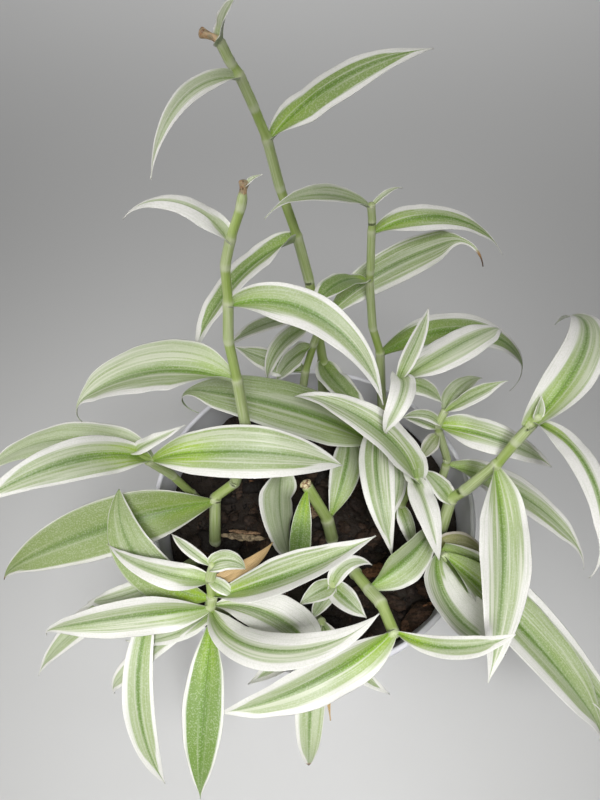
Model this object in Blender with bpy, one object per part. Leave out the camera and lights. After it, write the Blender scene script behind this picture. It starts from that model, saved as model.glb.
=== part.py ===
"""Potted variegated rhopalephora: a white pot, its soil and seventeen leafy stems.

Everything is in metres with +Z up. The pot stands on z = 0 with its axis on the origin, and -Y is
the front. Stem points and leaf sizes are given in millimetres and turned to metres by MM.
"""

import math
from typing import NamedTuple

import bmesh
import bpy
import numpy as np
from mathutils import Matrix, Vector, noise

MM = 0.001
CLEARANCE = 0.3 * MM

# The pot, from its foot up
POT_HEIGHT = 100 * MM
RIM_RADIUS = 60 * MM
BAND_DEPTH = 14 * MM
BAND_STEP = 1.4 * MM
FOOT_RADIUS = 43 * MM
FOOT_CHAMFER = 1.2 * MM
WALL = 1.2 * MM
LIP_WIDTH = 1.9 * MM
LIP_ROUND = 0.4 * MM
BAND_FLARE_TOP = 1.5 * MM
FLOOR = 1.6 * MM
POT_SIDES = 64
DRAIN_HOLES = 6
DRAIN_RADIUS = 3.5 * MM
DRAIN_RING = 31 * MM

# The soil, a filled cone with a rough top of bark chips
SOIL_LEVEL = 87.5 * MM
SOIL_RINGS = 12
SOIL_SIDES = 36
SOIL_MARGIN = 1 * MM
SOIL_GAP = 1.5 * CLEARANCE
SOIL_RELIEF = 1.6 * MM
SWELL_SIZE = 26 * MM
BARK_CHIP = 9 * MM
BARK_RELIEF = 1.5 * MM

# The stems
STEM_SIDES = 8
ROOT_DEPTH = 9 * MM
SHEATH_SWELL = 1.02
COLLAR_SWELL = 1.1
BARE_SHRINK = 0.92
COLLAR_STEP = 0.8 * MM
BLADE_ROOT = 1.6 * MM
HOLE_SIDES = 12

# The leaves
BLADE_THICKNESS = 0.7 * MM
MIDRIB_STEPS = 60
STATION_SPACING = 10
FEWEST_STATIONS = 4
CURL_STATIONS = 2
BASE_OFFSET = 0.03
TIP_HALF_WIDTH = 0.4 * MM
BASE_FOLD = 48
FOLD_OPENS_BY = 0.3
CURL_START = 0.78


class Leaf(NamedTuple):
    """One blade. Angles are in degrees, length and width in millimetres.

    joint is the point of the stem's path that the blade leaves. heading is its compass direction
    there, turning from +X towards +Y, and rise its climb. Towards the tip the heading turns by
    sweep, the climb falls by droop, and by curl more in the last part. roll tips the blade about
    its midrib, and fold is how far each half stands up from flat. waist is how slowly the blade
    widens from the stem, and taper how slowly it narrows to its tip.
    """

    joint: float
    heading: float
    rise: float
    sweep: float
    droop: float
    length: float
    width: float
    roll: float = 0
    fold: float = 16
    curl: float = 0
    waist: float = 0.7
    taper: float = 1.15


class Stem(NamedTuple):
    """A leafy stem: its path in millimetres from where it leaves the soil, which runs from node to
    collar to node, the radius at its foot and at its tip, and its leaves."""

    path: tuple
    foot_radius: float
    tip_radius: float
    leaves: tuple


STEMS = {
    "stem_back_left": Stem(
        (
            (5, 43, 90), (4, 50, 119), (-2, 54, 159), (-6, 55, 177), (-11, 55, 195),
            (-14, 55, 210), (-17, 55, 219), (-20, 55, 227), (-22, 55, 230), (-24, 55, 235),
            (-28, 56, 236),
        ),
        2.2, 1.2,
        (
            Leaf(1, 278, 31, 47, 42, 32, 12, roll=14, fold=17, taper=0.9),
            Leaf(3, 215, 10, 13, 70, 51, 13, roll=-17, fold=19, waist=0.5, taper=0.7),
            Leaf(5, 10, 52, -2, 50, 49, 11, roll=-19, fold=2, waist=0.9, taper=1.2),
            Leaf(7, 219, 29, 27, 90, 39, 5.5, roll=23, fold=23, waist=0.6, taper=1.3),
            Leaf(9, 336, 92, 25, 54, 13, 6.5, roll=-29, fold=33, waist=0.5, taper=1.4),
        ),
    ),
    "stem_left": Stem(
        (
            (-37, -13, 90), (-36, -2, 105), (-28, 0, 113), (-24, 3, 130), (-22, 4, 138),
            (-23.5, 9, 163), (-25, 13, 176), (-24, 16, 188), (-24, 19, 198), (-22, 21, 205),
            (-19, 24, 212), (-18, 26, 217),
        ),
        2.1, 1.2,
        (
            Leaf(1, 201, 22, -11, 68, 92, 20, roll=31, fold=14, curl=18, waist=0.9, taper=1.3),
            Leaf(5, 157, 6, 59, 36, 62, 21.5, roll=-6, fold=28, curl=77, waist=1.0, taper=1.5),
            Leaf(7, 359, 26, -56, 89, 56, 11.5, roll=-20, fold=27, taper=1.3),
            Leaf(9, 160, 71, 23, 121, 32, 6.5, roll=10, fold=3, waist=0.5, taper=1.3),
            Leaf(11, 20, 60, 0, 60, 6, 2, fold=30),
        ),
    ),
    "stem_back_right": Stem(
        (
            (30, 38, 90), (25.5, 48, 127), (21.5, 50, 139), (18.5, 52.5, 159.5),
            (18.5, 53.5, 163.5), (17.5, 55.5, 178.5), (17.5, 56.5, 181.5), (16.5, 56.5, 187.5),
        ),
        1.9, 1.2,
        (
            Leaf(1, 28, 15, -33, 97, 106, 15, roll=-19, fold=14, curl=28, waist=0.6, taper=1.4),
            Leaf(3, 210, 56, 22, 73, 29, 11, roll=-14, fold=17, waist=1.0, taper=0.7),
            Leaf(5, 20, 25, -31, 78, 52, 10, roll=-17, fold=8, curl=2, waist=0.8, taper=1.6),
            Leaf(7, 206, 43, 22, 37, 44, 7, roll=20, fold=32, curl=29, waist=1.1, taper=1.5),
            Leaf(7, 26, 61, 10, 89, 13, 2.5, fold=34),
        ),
    ),
    "stem_right": Stem(
        (
            (47, -12, 91), (49, -4, 108), (53, -3, 113), (61, 0, 127), (65, 3, 137), (69, 6, 143),
            (70, 7, 146),
        ),
        2.2, 1.6,
        (
            Leaf(1, 146, 70, -25, 105, 18, 8),
            Leaf(3, 270, 0, -20, 14, 67, 17.5, roll=8, fold=24, curl=3, waist=0.8, taper=1.1),
            Leaf(5, 34, 60, 66, 134, 73, 14, roll=7, fold=24, waist=0.4, taper=1.0),
            Leaf(5.5, 294, 48, -43, 81, 61, 8, roll=-5, fold=6, curl=57, waist=0.8, taper=1.3),
            Leaf(6, 91, 80, 0, 30, 9, 4, fold=40),
        ),
    ),
    "stem_front_cut": Stem(
        (
            (7, -12, 90), (5, -8, 99), (-3, 0, 112),
        ),
        2.3, 2.1,
        (
            Leaf(2, 258, 0, 13, 80, 36, 8, fold=30, curl=7, waist=1, taper=0.8),
            Leaf(1, 61, 45, 34, 92, 46, 11.5, roll=-4, fold=7, waist=1.5, taper=1.5),
        ),
    ),
    "stem_front": Stem(
        (
            (12, -21, 91), (14, -29, 102), (18, -36, 106), (21, -41, 110), (24, -51, 112),
        ),
        2.2, 1.9,
        (
            Leaf(2, 23, 31, 43, 74, 40, 15, roll=-41, fold=39, curl=21, waist=1.1, taper=1.6),
            Leaf(4, 220, 15, -37, 52, 62, 15, roll=39, fold=27),
            Leaf(4, 316, 34, 63, -11, 40, 6.5, roll=-8, fold=27, curl=21, waist=1, taper=0.8),
        ),
    ),
    "shoot_front_left": Stem(
        (
            (-31, -38, 90), (-34, -42, 103), (-34, -41, 108), (-33, -39, 112), (-33, -36, 120),
            (-31, -34, 127),
        ),
        2.1, 1.5,
        (
            Leaf(1, 270, 14, -7, 77, 61, 14.5, roll=-17, fold=20, waist=1.5, taper=1.5),
            Leaf(1.5, 291, 53, 109, 49, 70, 12, roll=16, fold=6, waist=1, taper=1.1),
            Leaf(1, 229, 25, -60, 46, 31, 6, waist=0.5),
            Leaf(2, 197, 38, -21, 86, 64, 13.5, roll=46, fold=23, curl=31, waist=0.9, taper=1.6),
            Leaf(3, 350, 53, 34, 35, 63, 13.5, roll=16, fold=30, waist=1.3, taper=1.2),
            Leaf(4, 184, 26, -50, 62, 41, 9, fold=10, waist=0.5, taper=1.4),
            Leaf(3, 178, 13, -87, 5, 53, 14, roll=16, fold=4, waist=0.8, taper=0.8),
            Leaf(2, 0, 35, -44, 75, 40, 16.5, roll=15, fold=23, waist=1.2, taper=0.5),
            Leaf(4, 330, 40, 0, 100, 11, 4.5),
            Leaf(5, 156, 39, -26, 78, 19, 3.5, waist=0.9),
            Leaf(5, 22, 88, -51, 173, 15, 7),
            Leaf(4, 12, 1, 46, 11, 24, 5),
            Leaf(1, 213, 27, 0, 101, 52, 7, curl=15, waist=1, taper=1),
        ),
    ),
    "shoot_left": Stem(
        (
            (-43, 2, 90), (-45, 0, 104), (-49, -1, 121), (-53, -4, 137), (-57, -4, 143),
        ),
        1.6, 1.4,
        (
            Leaf(3, 213, 70, -2, 91, 56, 13, roll=19, fold=21, waist=1.0, taper=1.2),
            Leaf(3, 157, 26, 55, 66, 64, 14, roll=-4, waist=0.5),
            Leaf(4, 341, 67, 59, 75, 22, 6, fold=18, waist=0.5, taper=1.2),
            Leaf(3, 347, 47, 18, 84, 67, 16.5, roll=-14, fold=18, waist=1.1, taper=1),
        ),
    ),
    "shoot_centre": Stem(
        (
            (24, 23, 90), (24, 25, 98), (25, 25, 108), (25, 23, 117), (28, 23, 143),
        ),
        1.8, 1.4,
        (
            Leaf(1, 188, 59, -17, 69, 99, 22.5, roll=2, fold=11, curl=150, taper=1.1),
            Leaf(4, 17, 44, 23, 77, 50, 13, roll=5, fold=6, curl=45, waist=0.8, taper=1),
            Leaf(4, 48, 78, 24, 76, 29, 6, roll=-13, fold=40, waist=0.8, taper=1),
            Leaf(4, 284, 83, -69, 181, 34, 9, roll=13, fold=17, curl=35, waist=0.6, taper=1.1),
            Leaf(3, 251, 34, 44, 87, 56, 12, curl=11, waist=1, taper=1.3),
            Leaf(4, 345, 27, -5, 90, 19, 8),
            Leaf(3, 299, 21, -53, 80, 39, 7, fold=15, waist=0.9, taper=1.0),
        ),
    ),
    "shoot_right": Stem(
        (
            (49, 6, 90), (50, 11, 105), (50, 12, 108), (44, 15, 124), (43, 15, 128), (45, 18, 132),
        ),
        1.6, 1.3,
        (
            Leaf(1.5, 353, -9, -51, 14, 70, 13, roll=-4, fold=19, curl=44, taper=1.2),
            Leaf(4, 342, 17, -2, 48, 42, 12.5, roll=-9, fold=14, waist=0.5, taper=0.9),
            Leaf(5, 356, 66, 27, 52, 26, 6.5, roll=5, curl=24, waist=1.2),
            Leaf(5, 65, 23, -40, 56, 26, 7.5, roll=4, waist=0.8),
            Leaf(4, 168, 84, 10, 145, 18, 5),
            Leaf(3.5, 173, 35, -30, 65, 15, 4),
            Leaf(3, 223, -30, 0, 45, 13, 6),
        ),
    ),
    "shoot_centre_right": Stem(
        (
            (28, -6, 90), (32, -4, 104), (35, -1, 118),
        ),
        1.8, 1.4,
        (
            Leaf(1, 278, 22, 22, 95, 18, 6),
            Leaf(2, 153, 79, 2, 102, 61, 14, fold=29, curl=18, waist=0.6, taper=1),
            Leaf(2, 133, 88, -15, 98, 24, 11, fold=35),
            Leaf(2, 271, 53, 19, 107, 33, 9.5, roll=9, fold=13, waist=0.6, taper=1),
        ),
    ),
    "shoot_back": Stem(
        (
            (-6, 37, 90), (-3, 40, 126), (0, 44, 137), (3, 47, 146),
        ),
        1.6, 1.4,
        (
            Leaf(3, 55, 18, -112, -35, 71, 13.5, roll=-38, fold=14, curl=117, waist=1.1, taper=1.0),
            Leaf(3, 197, 45, 6, 80, 36, 7.5, roll=-10, fold=15, waist=0.9, taper=0.6),
            Leaf(3, 194, 10, 41, 101, 34, 9, roll=-6, fold=23, waist=0.5, taper=0.9),
            Leaf(2, 193, -20, 20, 50, 22, 10),
            Leaf(1, 155, -5, 10, -25, 30, 12),
        ),
    ),
    "shoot_front_right": Stem(
        (
            (43, -17, 90), (44, -21, 101), (45, -24, 104),
        ),
        1.8, 1.6,
        (
            Leaf(1, 245, 15, 96, -8, 46, 20, roll=21, fold=43, curl=76, waist=0.9, taper=0.6),
            Leaf(2, 311, 13, 4, 60, 84, 19, roll=7, fold=26, curl=25, waist=0.8, taper=1.1),
            Leaf(1, 33, 33, -95, 50, 19, 10),
            Leaf(1.5, 320, 2, -7, 34, 94, 19.5, roll=-5, fold=32, curl=2, waist=0.35, taper=1.3),
        ),
    ),
    "shoot_front_small": Stem(
        (
            (5, -29, 90), (6, -34, 104),
        ),
        1.5, 1.3,
        (
            Leaf(1, 300, 50, 30, 90, 17, 8),
            Leaf(1, 240, 50, -10, 115, 15, 6),
            Leaf(1, 211, 57, 0, 95, 15, 7),
            Leaf(1, 76, 74, -95, 120, 20, 6),
        ),
    ),
    "shoot_front_low": Stem(
        (
            (1, -41, 90), (2, -45, 102),
        ),
        1.6, 1.4,
        (
            Leaf(1, 258, 17, 15, 98, 53, 9.5, taper=0.9),
            Leaf(1, 234, 28, -35, 77, 33, 7.5),
            Leaf(1, 290, 35, 52, 83, 34, 7),
        ),
    ),
    "shoot_left_low": Stem(
        (
            (-43, -20, 90), (-49, -33, 110),
        ),
        1.7, 1.5,
        (
            Leaf(1, 245, 5, 57, 62, 69, 9.5, fold=18, waist=1.3, taper=1.1),
            Leaf(1, 204, 3, 9, 64, 65, 9, roll=5, fold=20, waist=0.9, taper=1.3),
            Leaf(1, 221, 25, -58, 75, 32, 8),
        ),
    ),
    "shoot_centre_left": Stem(
        (
            (-11, 8, 90), (-11, 9, 112),
        ),
        1.6, 1.4,
        (
            Leaf(1, 256, 8, 45, 80, 41, 20, roll=54, fold=3, waist=1.1, taper=1.5),
            Leaf(1, 345, 37, 20, 85, 14, 6),
        ),
    ),
}


def clear_scene():
    for thing in list(bpy.data.objects):
        bpy.data.objects.remove(thing)


def finish(name, colour, roughness):
    """A material of one colour."""
    material = bpy.data.materials.new(name)
    material.use_nodes = True
    shader = material.node_tree.nodes["Principled BSDF"]
    shader.inputs["Base Color"].default_value = (*colour, 1)
    shader.inputs["Roughness"].default_value = roughness
    shader.inputs["Metallic"].default_value = 0
    return material


def add_object(name, mesh, material):
    thing = bpy.data.objects.new(name, mesh)
    bpy.context.scene.collection.objects.link(thing)
    mesh.materials.append(material)
    return thing


def mesh_from(name, bm):
    bmesh.ops.recalc_face_normals(bm, faces=bm.faces)
    mesh = bpy.data.meshes.new(name)
    bm.to_mesh(mesh)
    bm.free()
    return mesh


def join_loops(bm, loops):
    """Faces between each loop of vertices and the next, as triangles cut the same way."""
    for lower, upper in zip(loops, loops[1:]):
        for i in range(len(lower)):
            j = (i + 1) % len(lower)
            bm.faces.new((lower[i], lower[j], upper[j]))
            bm.faces.new((lower[i], upper[j], upper[i]))


def apply_boolean(thing, operation, others, solver="EXACT"):
    """Joins others to thing, or cuts them from it, and removes them."""
    group = bpy.data.collections.new(thing.name + "_tools")
    bpy.context.scene.collection.children.link(group)
    for other in others:
        bpy.context.scene.collection.objects.unlink(other)
        group.objects.link(other)
    modifier = thing.modifiers.new(operation.lower(), "BOOLEAN")
    modifier.operation = operation
    modifier.operand_type = "COLLECTION"
    modifier.solver = solver
    modifier.collection = group
    graph = bpy.context.evaluated_depsgraph_get()
    result = bpy.data.meshes.new_from_object(thing.evaluated_get(graph))
    thing.modifiers.clear()
    thing.data = result
    for other in others:
        bpy.data.objects.remove(other)
    bpy.data.collections.remove(group)


def upright_cylinder(name, centre, radius, height, sides, material):
    bm = bmesh.new()
    place = Matrix.Translation(centre + Vector((0, 0, height / 2)))
    bmesh.ops.create_cone(
        bm, cap_ends=True, segments=sides, radius1=radius, radius2=radius, depth=height, matrix=place
    )
    return add_object(name, mesh_from(name, bm), material)


def inner_radius(z):
    """Radius of the pot's inside at height z."""
    share = (z - FLOOR) / (POT_HEIGHT - FLOOR)
    bottom = FOOT_RADIUS - WALL
    top = RIM_RADIUS - LIP_WIDTH
    return bottom + (top - bottom) * share


def pot_profile():
    """Radius and height of the pot's skin, from the middle of its foot round to its floor."""
    band_bottom = POT_HEIGHT - BAND_DEPTH
    return (
        (FOOT_RADIUS - FOOT_CHAMFER, 0),
        (FOOT_RADIUS, FOOT_CHAMFER),
        (inner_radius(band_bottom) + WALL, band_bottom),
        (inner_radius(band_bottom) + WALL + BAND_STEP, band_bottom + BAND_STEP / 2),
        (RIM_RADIUS, POT_HEIGHT - BAND_FLARE_TOP),
        (RIM_RADIUS, POT_HEIGHT - LIP_ROUND),
        (RIM_RADIUS - LIP_ROUND, POT_HEIGHT),
        (inner_radius(POT_HEIGHT) + LIP_ROUND, POT_HEIGHT),
        (inner_radius(POT_HEIGHT), POT_HEIGHT - LIP_ROUND),
        (inner_radius(FLOOR), FLOOR),
    )


def turned_body(name, profile, sides, material):
    """The profile turned about Z, closed by a flat disc at each end."""
    bm = bmesh.new()
    loops = []
    for radius, z in profile:
        angles = [2 * math.pi * i / sides for i in range(sides)]
        loops.append([bm.verts.new((radius * math.cos(a), radius * math.sin(a), z)) for a in angles])
    join_loops(bm, loops)
    bm.faces.new(list(reversed(loops[0])))
    bm.faces.new(loops[-1])
    return add_object(name, mesh_from(name, bm), material)


def make_pot():
    """A thin tapered pot with a band round its rim and drain holes in its floor."""
    plastic = finish("white_plastic", (0.86, 0.85, 0.89), 0.35)
    pot = turned_body("pot", pot_profile(), POT_SIDES, plastic)
    holes = []
    for i in range(DRAIN_HOLES):
        turn = 2 * math.pi * (i + 0.5) / DRAIN_HOLES
        centre = Vector((DRAIN_RING * math.cos(turn), DRAIN_RING * math.sin(turn), -FLOOR))
        holes.append(upright_cylinder("drain", centre, DRAIN_RADIUS, 3 * FLOOR, HOLE_SIDES, plastic))
    apply_boolean(pot, "DIFFERENCE", holes)


def keep_largest_piece(mesh):
    """Drops the loose scraps and sealed hollows that fusing can leave."""
    bm = bmesh.new()
    bm.from_mesh(mesh)
    unseen = set(bm.verts)
    pieces = []
    while unseen:
        piece = [unseen.pop()]
        for vertex in piece:
            beside = {end for edge in vertex.link_edges for end in edge.verts} & unseen
            unseen -= beside
            piece.extend(beside)
        pieces.append(piece)
    pieces.sort(key=len)
    loose = [vertex for piece in pieces[:-1] for vertex in piece]
    bmesh.ops.delete(bm, geom=loose, context="VERTS")
    bm.to_mesh(mesh)
    bm.free()


def soil_height(x, y):
    """Height of the soil: slow swells, and flat chips of bark tipped by a coarse noise."""
    place = Vector((x, y, 0))
    swell = noise.noise(place / SWELL_SIZE)
    chip = noise.cell_vector(place / BARK_CHIP)
    return SOIL_LEVEL + SOIL_RELIEF * swell + BARK_RELIEF * (chip.x - 0.5)


def ring_of_points(radius, sides, height_at):
    """Points on a circle round the pot's axis, each at the height that height_at gives there."""
    points = []
    for i in range(sides):
        angle = 2 * math.pi * i / sides
        x, y = radius * math.cos(angle), radius * math.sin(angle)
        points.append((x, y, height_at(x, y)))
    return points


def make_soil():
    """The soil: a cone that fills the pot, with a rough top and a plain hole for each stem."""
    peat = finish("soil", (0.05, 0.03, 0.022), 0.95)
    floor, brim = FLOOR + CLEARANCE, SOIL_LEVEL
    top_radius = inner_radius(brim) - SOIL_GAP
    rings = [
        ring_of_points(inner_radius(floor) - SOIL_GAP, SOIL_SIDES, lambda x, y: floor),
        ring_of_points(top_radius, SOIL_SIDES, lambda x, y: brim),
    ]
    for ring in range(SOIL_RINGS, 0, -1):
        radius = (top_radius - SOIL_MARGIN) * ring / SOIL_RINGS
        rings.append(ring_of_points(radius, SOIL_SIDES, soil_height))
    bm = bmesh.new()
    loops = [[bm.verts.new(point) for point in ring] for ring in rings]
    join_loops(bm, loops)
    bm.faces.new(list(reversed(loops[0])))
    middle = bm.verts.new((0, 0, soil_height(0, 0)))
    for i, corner in enumerate(loops[-1]):
        bm.faces.new((corner, loops[-1][(i + 1) % SOIL_SIDES], middle))
    soil = add_object("soil", mesh_from("soil", bm), peat)
    holes = []
    for stem in STEMS.values():
        x, y, _ = stem.path[0]
        foot = Vector((x * MM, y * MM, SOIL_LEVEL - ROOT_DEPTH - CLEARANCE))
        radius = stem.foot_radius * SHEATH_SWELL * MM + CLEARANCE
        holes.append(upright_cylinder("stem_hole", foot, radius, 2 * ROOT_DEPTH, HOLE_SIDES, peat))
    apply_boolean(soil, "DIFFERENCE", holes)


def stem_rings(stem):
    """Centre and radius of each ring of a stem, from its root up.

    A sheath wraps each stretch from a node up to a collar and is a little wider than the stem,
    widest at the collar. From there to the next node the stem is bare and thinner.
    """
    path = [Vector(point) * MM for point in stem.path]
    lengths = [0.0]
    for start, end in zip(path, path[1:]):
        lengths.append(lengths[-1] + (end - start).length)
    rings = [(Vector((path[0].x, path[0].y, SOIL_LEVEL - ROOT_DEPTH)), stem.foot_radius * MM)]
    for i, point in enumerate(path):
        share = lengths[i] / lengths[-1]
        radius = (stem.foot_radius + (stem.tip_radius - stem.foot_radius) * share) * MM
        if i % 2 == 0:
            rings.append((point, radius * SHEATH_SWELL))
            continue
        rings.append((point, radius * COLLAR_SWELL))
        if i + 1 < len(path):
            onward = (path[i + 1] - point).normalized()
            rings.append((point + onward * COLLAR_STEP, radius * BARE_SHRINK))
    return rings


def make_stem_tube(name, stem, material):
    """A closed tube through the stem's rings, each square to the way the stem runs there."""
    rings = stem_rings(stem)
    bm = bmesh.new()
    loops = []
    side = Vector((1, 0, 0))
    for i, (centre, radius) in enumerate(rings):
        before = rings[max(i - 1, 0)][0]
        after = rings[min(i + 1, len(rings) - 1)][0]
        ahead = (after - before).normalized()
        side = (side - ahead * side.dot(ahead)).normalized()
        other = ahead.cross(side)
        loop = []
        for k in range(STEM_SIDES):
            angle = 2 * math.pi * k / STEM_SIDES
            offset = side * math.cos(angle) + other * math.sin(angle)
            loop.append(bm.verts.new(centre + offset * radius))
        loops.append(loop)
    join_loops(bm, loops)
    bm.faces.new(list(reversed(loops[0])))
    bm.faces.new(loops[-1])
    return add_object(name, mesh_from(name, bm), material)


def joint_point(stem, joint):
    """The place inside a stem where a blade is rooted, a little below its joint.

    The joint counts the points of the stem's path, and may lie between two of them.
    """
    first = max(math.ceil(joint) - 1, 0)
    start, end = Vector(stem.path[first]) * MM, Vector(stem.path[first + 1]) * MM
    onward = end - start
    return start + onward * (joint - first) - onward.normalized() * BLADE_ROOT


def midrib(base, leaf):
    """Points along the middle of a blade, with the ways ahead, across and up at each."""
    t = np.linspace(0, 1, MIDRIB_STEPS + 1)
    curl = np.clip((t - CURL_START) / (1 - CURL_START), 0, 1) * leaf.curl
    heading = np.radians(leaf.heading + leaf.sweep * t)
    climb = np.radians(leaf.rise - leaf.droop * t - curl)
    level = np.cos(climb)
    ahead = np.stack([level * np.cos(heading), level * np.sin(heading), np.sin(climb)], axis=1)
    step = (ahead[1:] + ahead[:-1]) / 2 * leaf.length * MM / MIDRIB_STEPS
    points = np.array(base) + np.vstack([np.zeros(3), np.cumsum(step, axis=0)])
    across = np.stack([np.sin(heading), -np.cos(heading), 0 * t], axis=1)
    up = np.cross(across, ahead)
    turn = math.radians(leaf.roll)
    tipped = across * math.cos(turn) + up * math.sin(turn)
    return points, tipped, np.cross(tipped, ahead)


def blade_half_width(leaf, t):
    """Narrow at the stem and drawn out to a point: t to the power waist times one minus t to the
    power taper, scaled so that the widest place has the leaf's width."""
    widest = (leaf.waist - leaf.taper * BASE_OFFSET) / (leaf.waist + leaf.taper)
    full = (widest + BASE_OFFSET) ** leaf.waist * (1 - widest) ** leaf.taper
    shape = (t + BASE_OFFSET) ** leaf.waist * (1 - t) ** leaf.taper / full
    return max(leaf.width / 2 * MM * shape, TIP_HALF_WIDTH)


def make_leaf(name, base, leaf, material):
    """A closed blade: a shallow V of even thickness, carried along its midrib."""
    points, across, up = midrib(base, leaf)
    stations = max(FEWEST_STATIONS, round(leaf.length / STATION_SPACING))
    if leaf.curl:
        stations += CURL_STATIONS
    bm = bmesh.new()
    loops = []
    for i in range(stations + 1):
        t = i / stations
        k = round(t * MIDRIB_STEPS)
        middle, side, normal = Vector(points[k]), Vector(across[k]), Vector(up[k])
        opening = min(t / FOLD_OPENS_BY, 1)
        fold = math.radians(BASE_FOLD + (leaf.fold - BASE_FOLD) * opening)
        half = blade_half_width(leaf, t)
        raised = normal * (BLADE_THICKNESS / 2 / math.cos(fold))
        out = side * (half * math.cos(fold))
        lift = normal * (half * math.sin(fold))
        top = (middle - out + lift, middle, middle + out + lift)
        above = [bm.verts.new(point + raised) for point in top]
        below = [bm.verts.new(point - raised) for point in top]
        loops.append(above + below[::-1])
    join_loops(bm, loops)
    for loop in (loops[0], loops[-1]):
        bm.faces.new((loop[0], loop[1], loop[4], loop[5]))
        bm.faces.new((loop[1], loop[2], loop[3], loop[4]))
    return add_object(name, mesh_from(name, bm), material)


def make_leafy_stem(name, stem):
    """One stem with all its leaves, fused into one body."""
    green = finish(name + "_green", (0.42, 0.55, 0.28), 0.45)
    tube = make_stem_tube(name, stem, green)
    leaves = [make_leaf("leaf", joint_point(stem, leaf.joint), leaf, green) for leaf in stem.leaves]
    apply_boolean(tube, "UNION", leaves, solver="MANIFOLD")
    keep_largest_piece(tube.data)


clear_scene()
make_pot()
make_soil()
for stem_name, leafy_stem in STEMS.items():
    make_leafy_stem(stem_name, leafy_stem)
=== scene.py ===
"""The looks of the potted rhopalephora: striped leaves and jointed stems in a white pot of bark.

Everything is in metres with +Z up. The pot stands on z = 0 with its axis on the origin, and -Y is
the front. Stem points and leaf sizes are given in millimetres and turned to metres by MM.
"""

import math
from typing import NamedTuple

import bpy
import numpy as np
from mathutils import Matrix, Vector


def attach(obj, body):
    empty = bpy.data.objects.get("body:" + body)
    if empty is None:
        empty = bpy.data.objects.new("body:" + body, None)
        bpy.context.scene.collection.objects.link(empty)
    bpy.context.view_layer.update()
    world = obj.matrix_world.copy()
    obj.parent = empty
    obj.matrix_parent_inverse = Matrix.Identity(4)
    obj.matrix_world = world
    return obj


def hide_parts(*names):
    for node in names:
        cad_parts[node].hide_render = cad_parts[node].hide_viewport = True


MM = 0.001
UP = np.array([0, 0, 1])

# The pot
POT_HEIGHT = 100 * MM
RIM_RADIUS = 60 * MM
BAND_DEPTH = 14 * MM
BAND_STEP = 1.4 * MM
BAND_ROUND = 0.5 * MM
FOOT_RADIUS = 43 * MM
FOOT_ROUND = 1.5 * MM
FOOT_RECESS = 0.7 * MM
WALL = 1.2 * MM
LIP_WIDTH = 1.9 * MM
FLOOR = 1.6 * MM
FLOOR_ROUND = 2.2 * MM
POT_SIDES = 180
DRAIN_HOLES = 6
DRAIN_RADIUS = 3.5 * MM
DRAIN_RING = 31 * MM

# The soil, whose relief adds up lattices of random heights, each with its cell and its swing
SOIL_LEVEL = 87.5 * MM
SOIL_RINGS = 96
SOIL_SIDES = 230
RELIEF = ((24 * MM, 2.2 * MM), (7 * MM, 2.0 * MM), (2.6 * MM, 1.1 * MM), (1.1 * MM, 0.5 * MM))
LATTICE = 97
LATTICE_SHIFT = 400
CHIPS = 170
CRUMBS = 1100
FIBRES = 60
STONE_POLE_GAP = 0.25
CLUMP_POLE_GAP = 0.2
SQUARENESS = 0.7

# Clumps that stand out in the soil: place and length in millimetres, and how light the wood is
CLUMPS = (
    (37, -40, 13, 1.1), (33, -43, 8, 1.2), (21, -24, 9, 1.5), (24, -22, 6, 1.4), (-25, 11, 6, 1.7),
    (1, 0, 7, 2.0), (4, -2, 4, 2.2), (40, -30, 7, 1.1), (-14, -6, 8, 0.9), (10, -33, 9, 1.0),
)
# Splinters on the soil: start, end and thickness in millimetres, and how light the wood is
SPLINTERS = (
    ((-35, -11), (-18, -12.5), 1.1, 2.3), ((-32, -9.2), (-20, -10.4), 0.7, 1.9),
    ((38, -37), (47, -34), 0.5, 1.6),
)

# The stems
STEM_SIDES = 20
ROOT_DEPTH = 9 * MM
RING_SPACING = 1.1 * MM
CORNER_ROUND = 1.4 * MM
DOME_HEIGHT = 0.6
DEAD_NECK = 1.3
WOBBLE = 0.018
WOBBLE_LENGTH = 9 * MM
BLADE_ROOT = 1.6 * MM

# The outline of a stem about a node and about a collar: how many millimetres past it, the share of
# the stem's radius there, and how much the place is sheath, node and edge of a collar
NODE_OUTLINE = (
    (-1.6, 0.97, 0, 0, 0), (-0.6, 1.01, 0.3, 1, 0), (0.2, 1.06, 0.9, 0.8, 0), (1.3, 1.02, 1, 0, 0),
)
COLLAR_OUTLINE = (
    (-2.2, 1.05, 1, 0, 0), (-0.1, 1.122, 1, 0, 1), (0.1, 1.1, 0.8, 0, 1), (0.8, 0.98, 0, 0.2, 0),
    (1.8, 0.92, 0, 0, 0),
)

# The leaves
MIDRIB_STEPS = 60
BASE_OFFSET = 0.03
TIP_HALF_WIDTH = 0.2 * MM
BASE_FOLD = 48
FOLD_OPENS_BY = 0.3
FOLD_SOFTNESS = 0.16
CLASP = 0.9
CROWN = 0.42
CURL_START = 0.78
FULL_CURL = 90
THREAD_START = 0.72
THREAD_NARROWS_OVER = 0.14
THREAD_SLIMS_BY = 0.75
LONG_LEAF = 38
SHORT_LEAF = 20
USUAL_WIDTH = 14
HALF_COLUMNS = (0, 0.035, 0.09, 0.17, 0.28, 0.41, 0.55, 0.69, 0.82, 0.92, 0.98, 1)
BLADE_THICKNESS = 0.42 * MM
TIP_THINS_BY = 0.45
RIB_DEPTH = 0.34 * MM
RIB_WIDTH = 0.07
RIPPLE = 0.28 * MM
SLOW_WAVES = (1.6, 3.4)
QUICK_WAVES = (4.5, 7)
QUICK_SHARE = 0.35

# Streaks along a blade: a shift that sets the pattern apart, how many lie across and how many along
BANDS = (0.0, 3.4, 0.7)
LINES = (31.0, 8.0, 1.5)
HAIRS = (57.0, 34.0, 6.0)
STREAK_PATTERNS = 97

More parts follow.
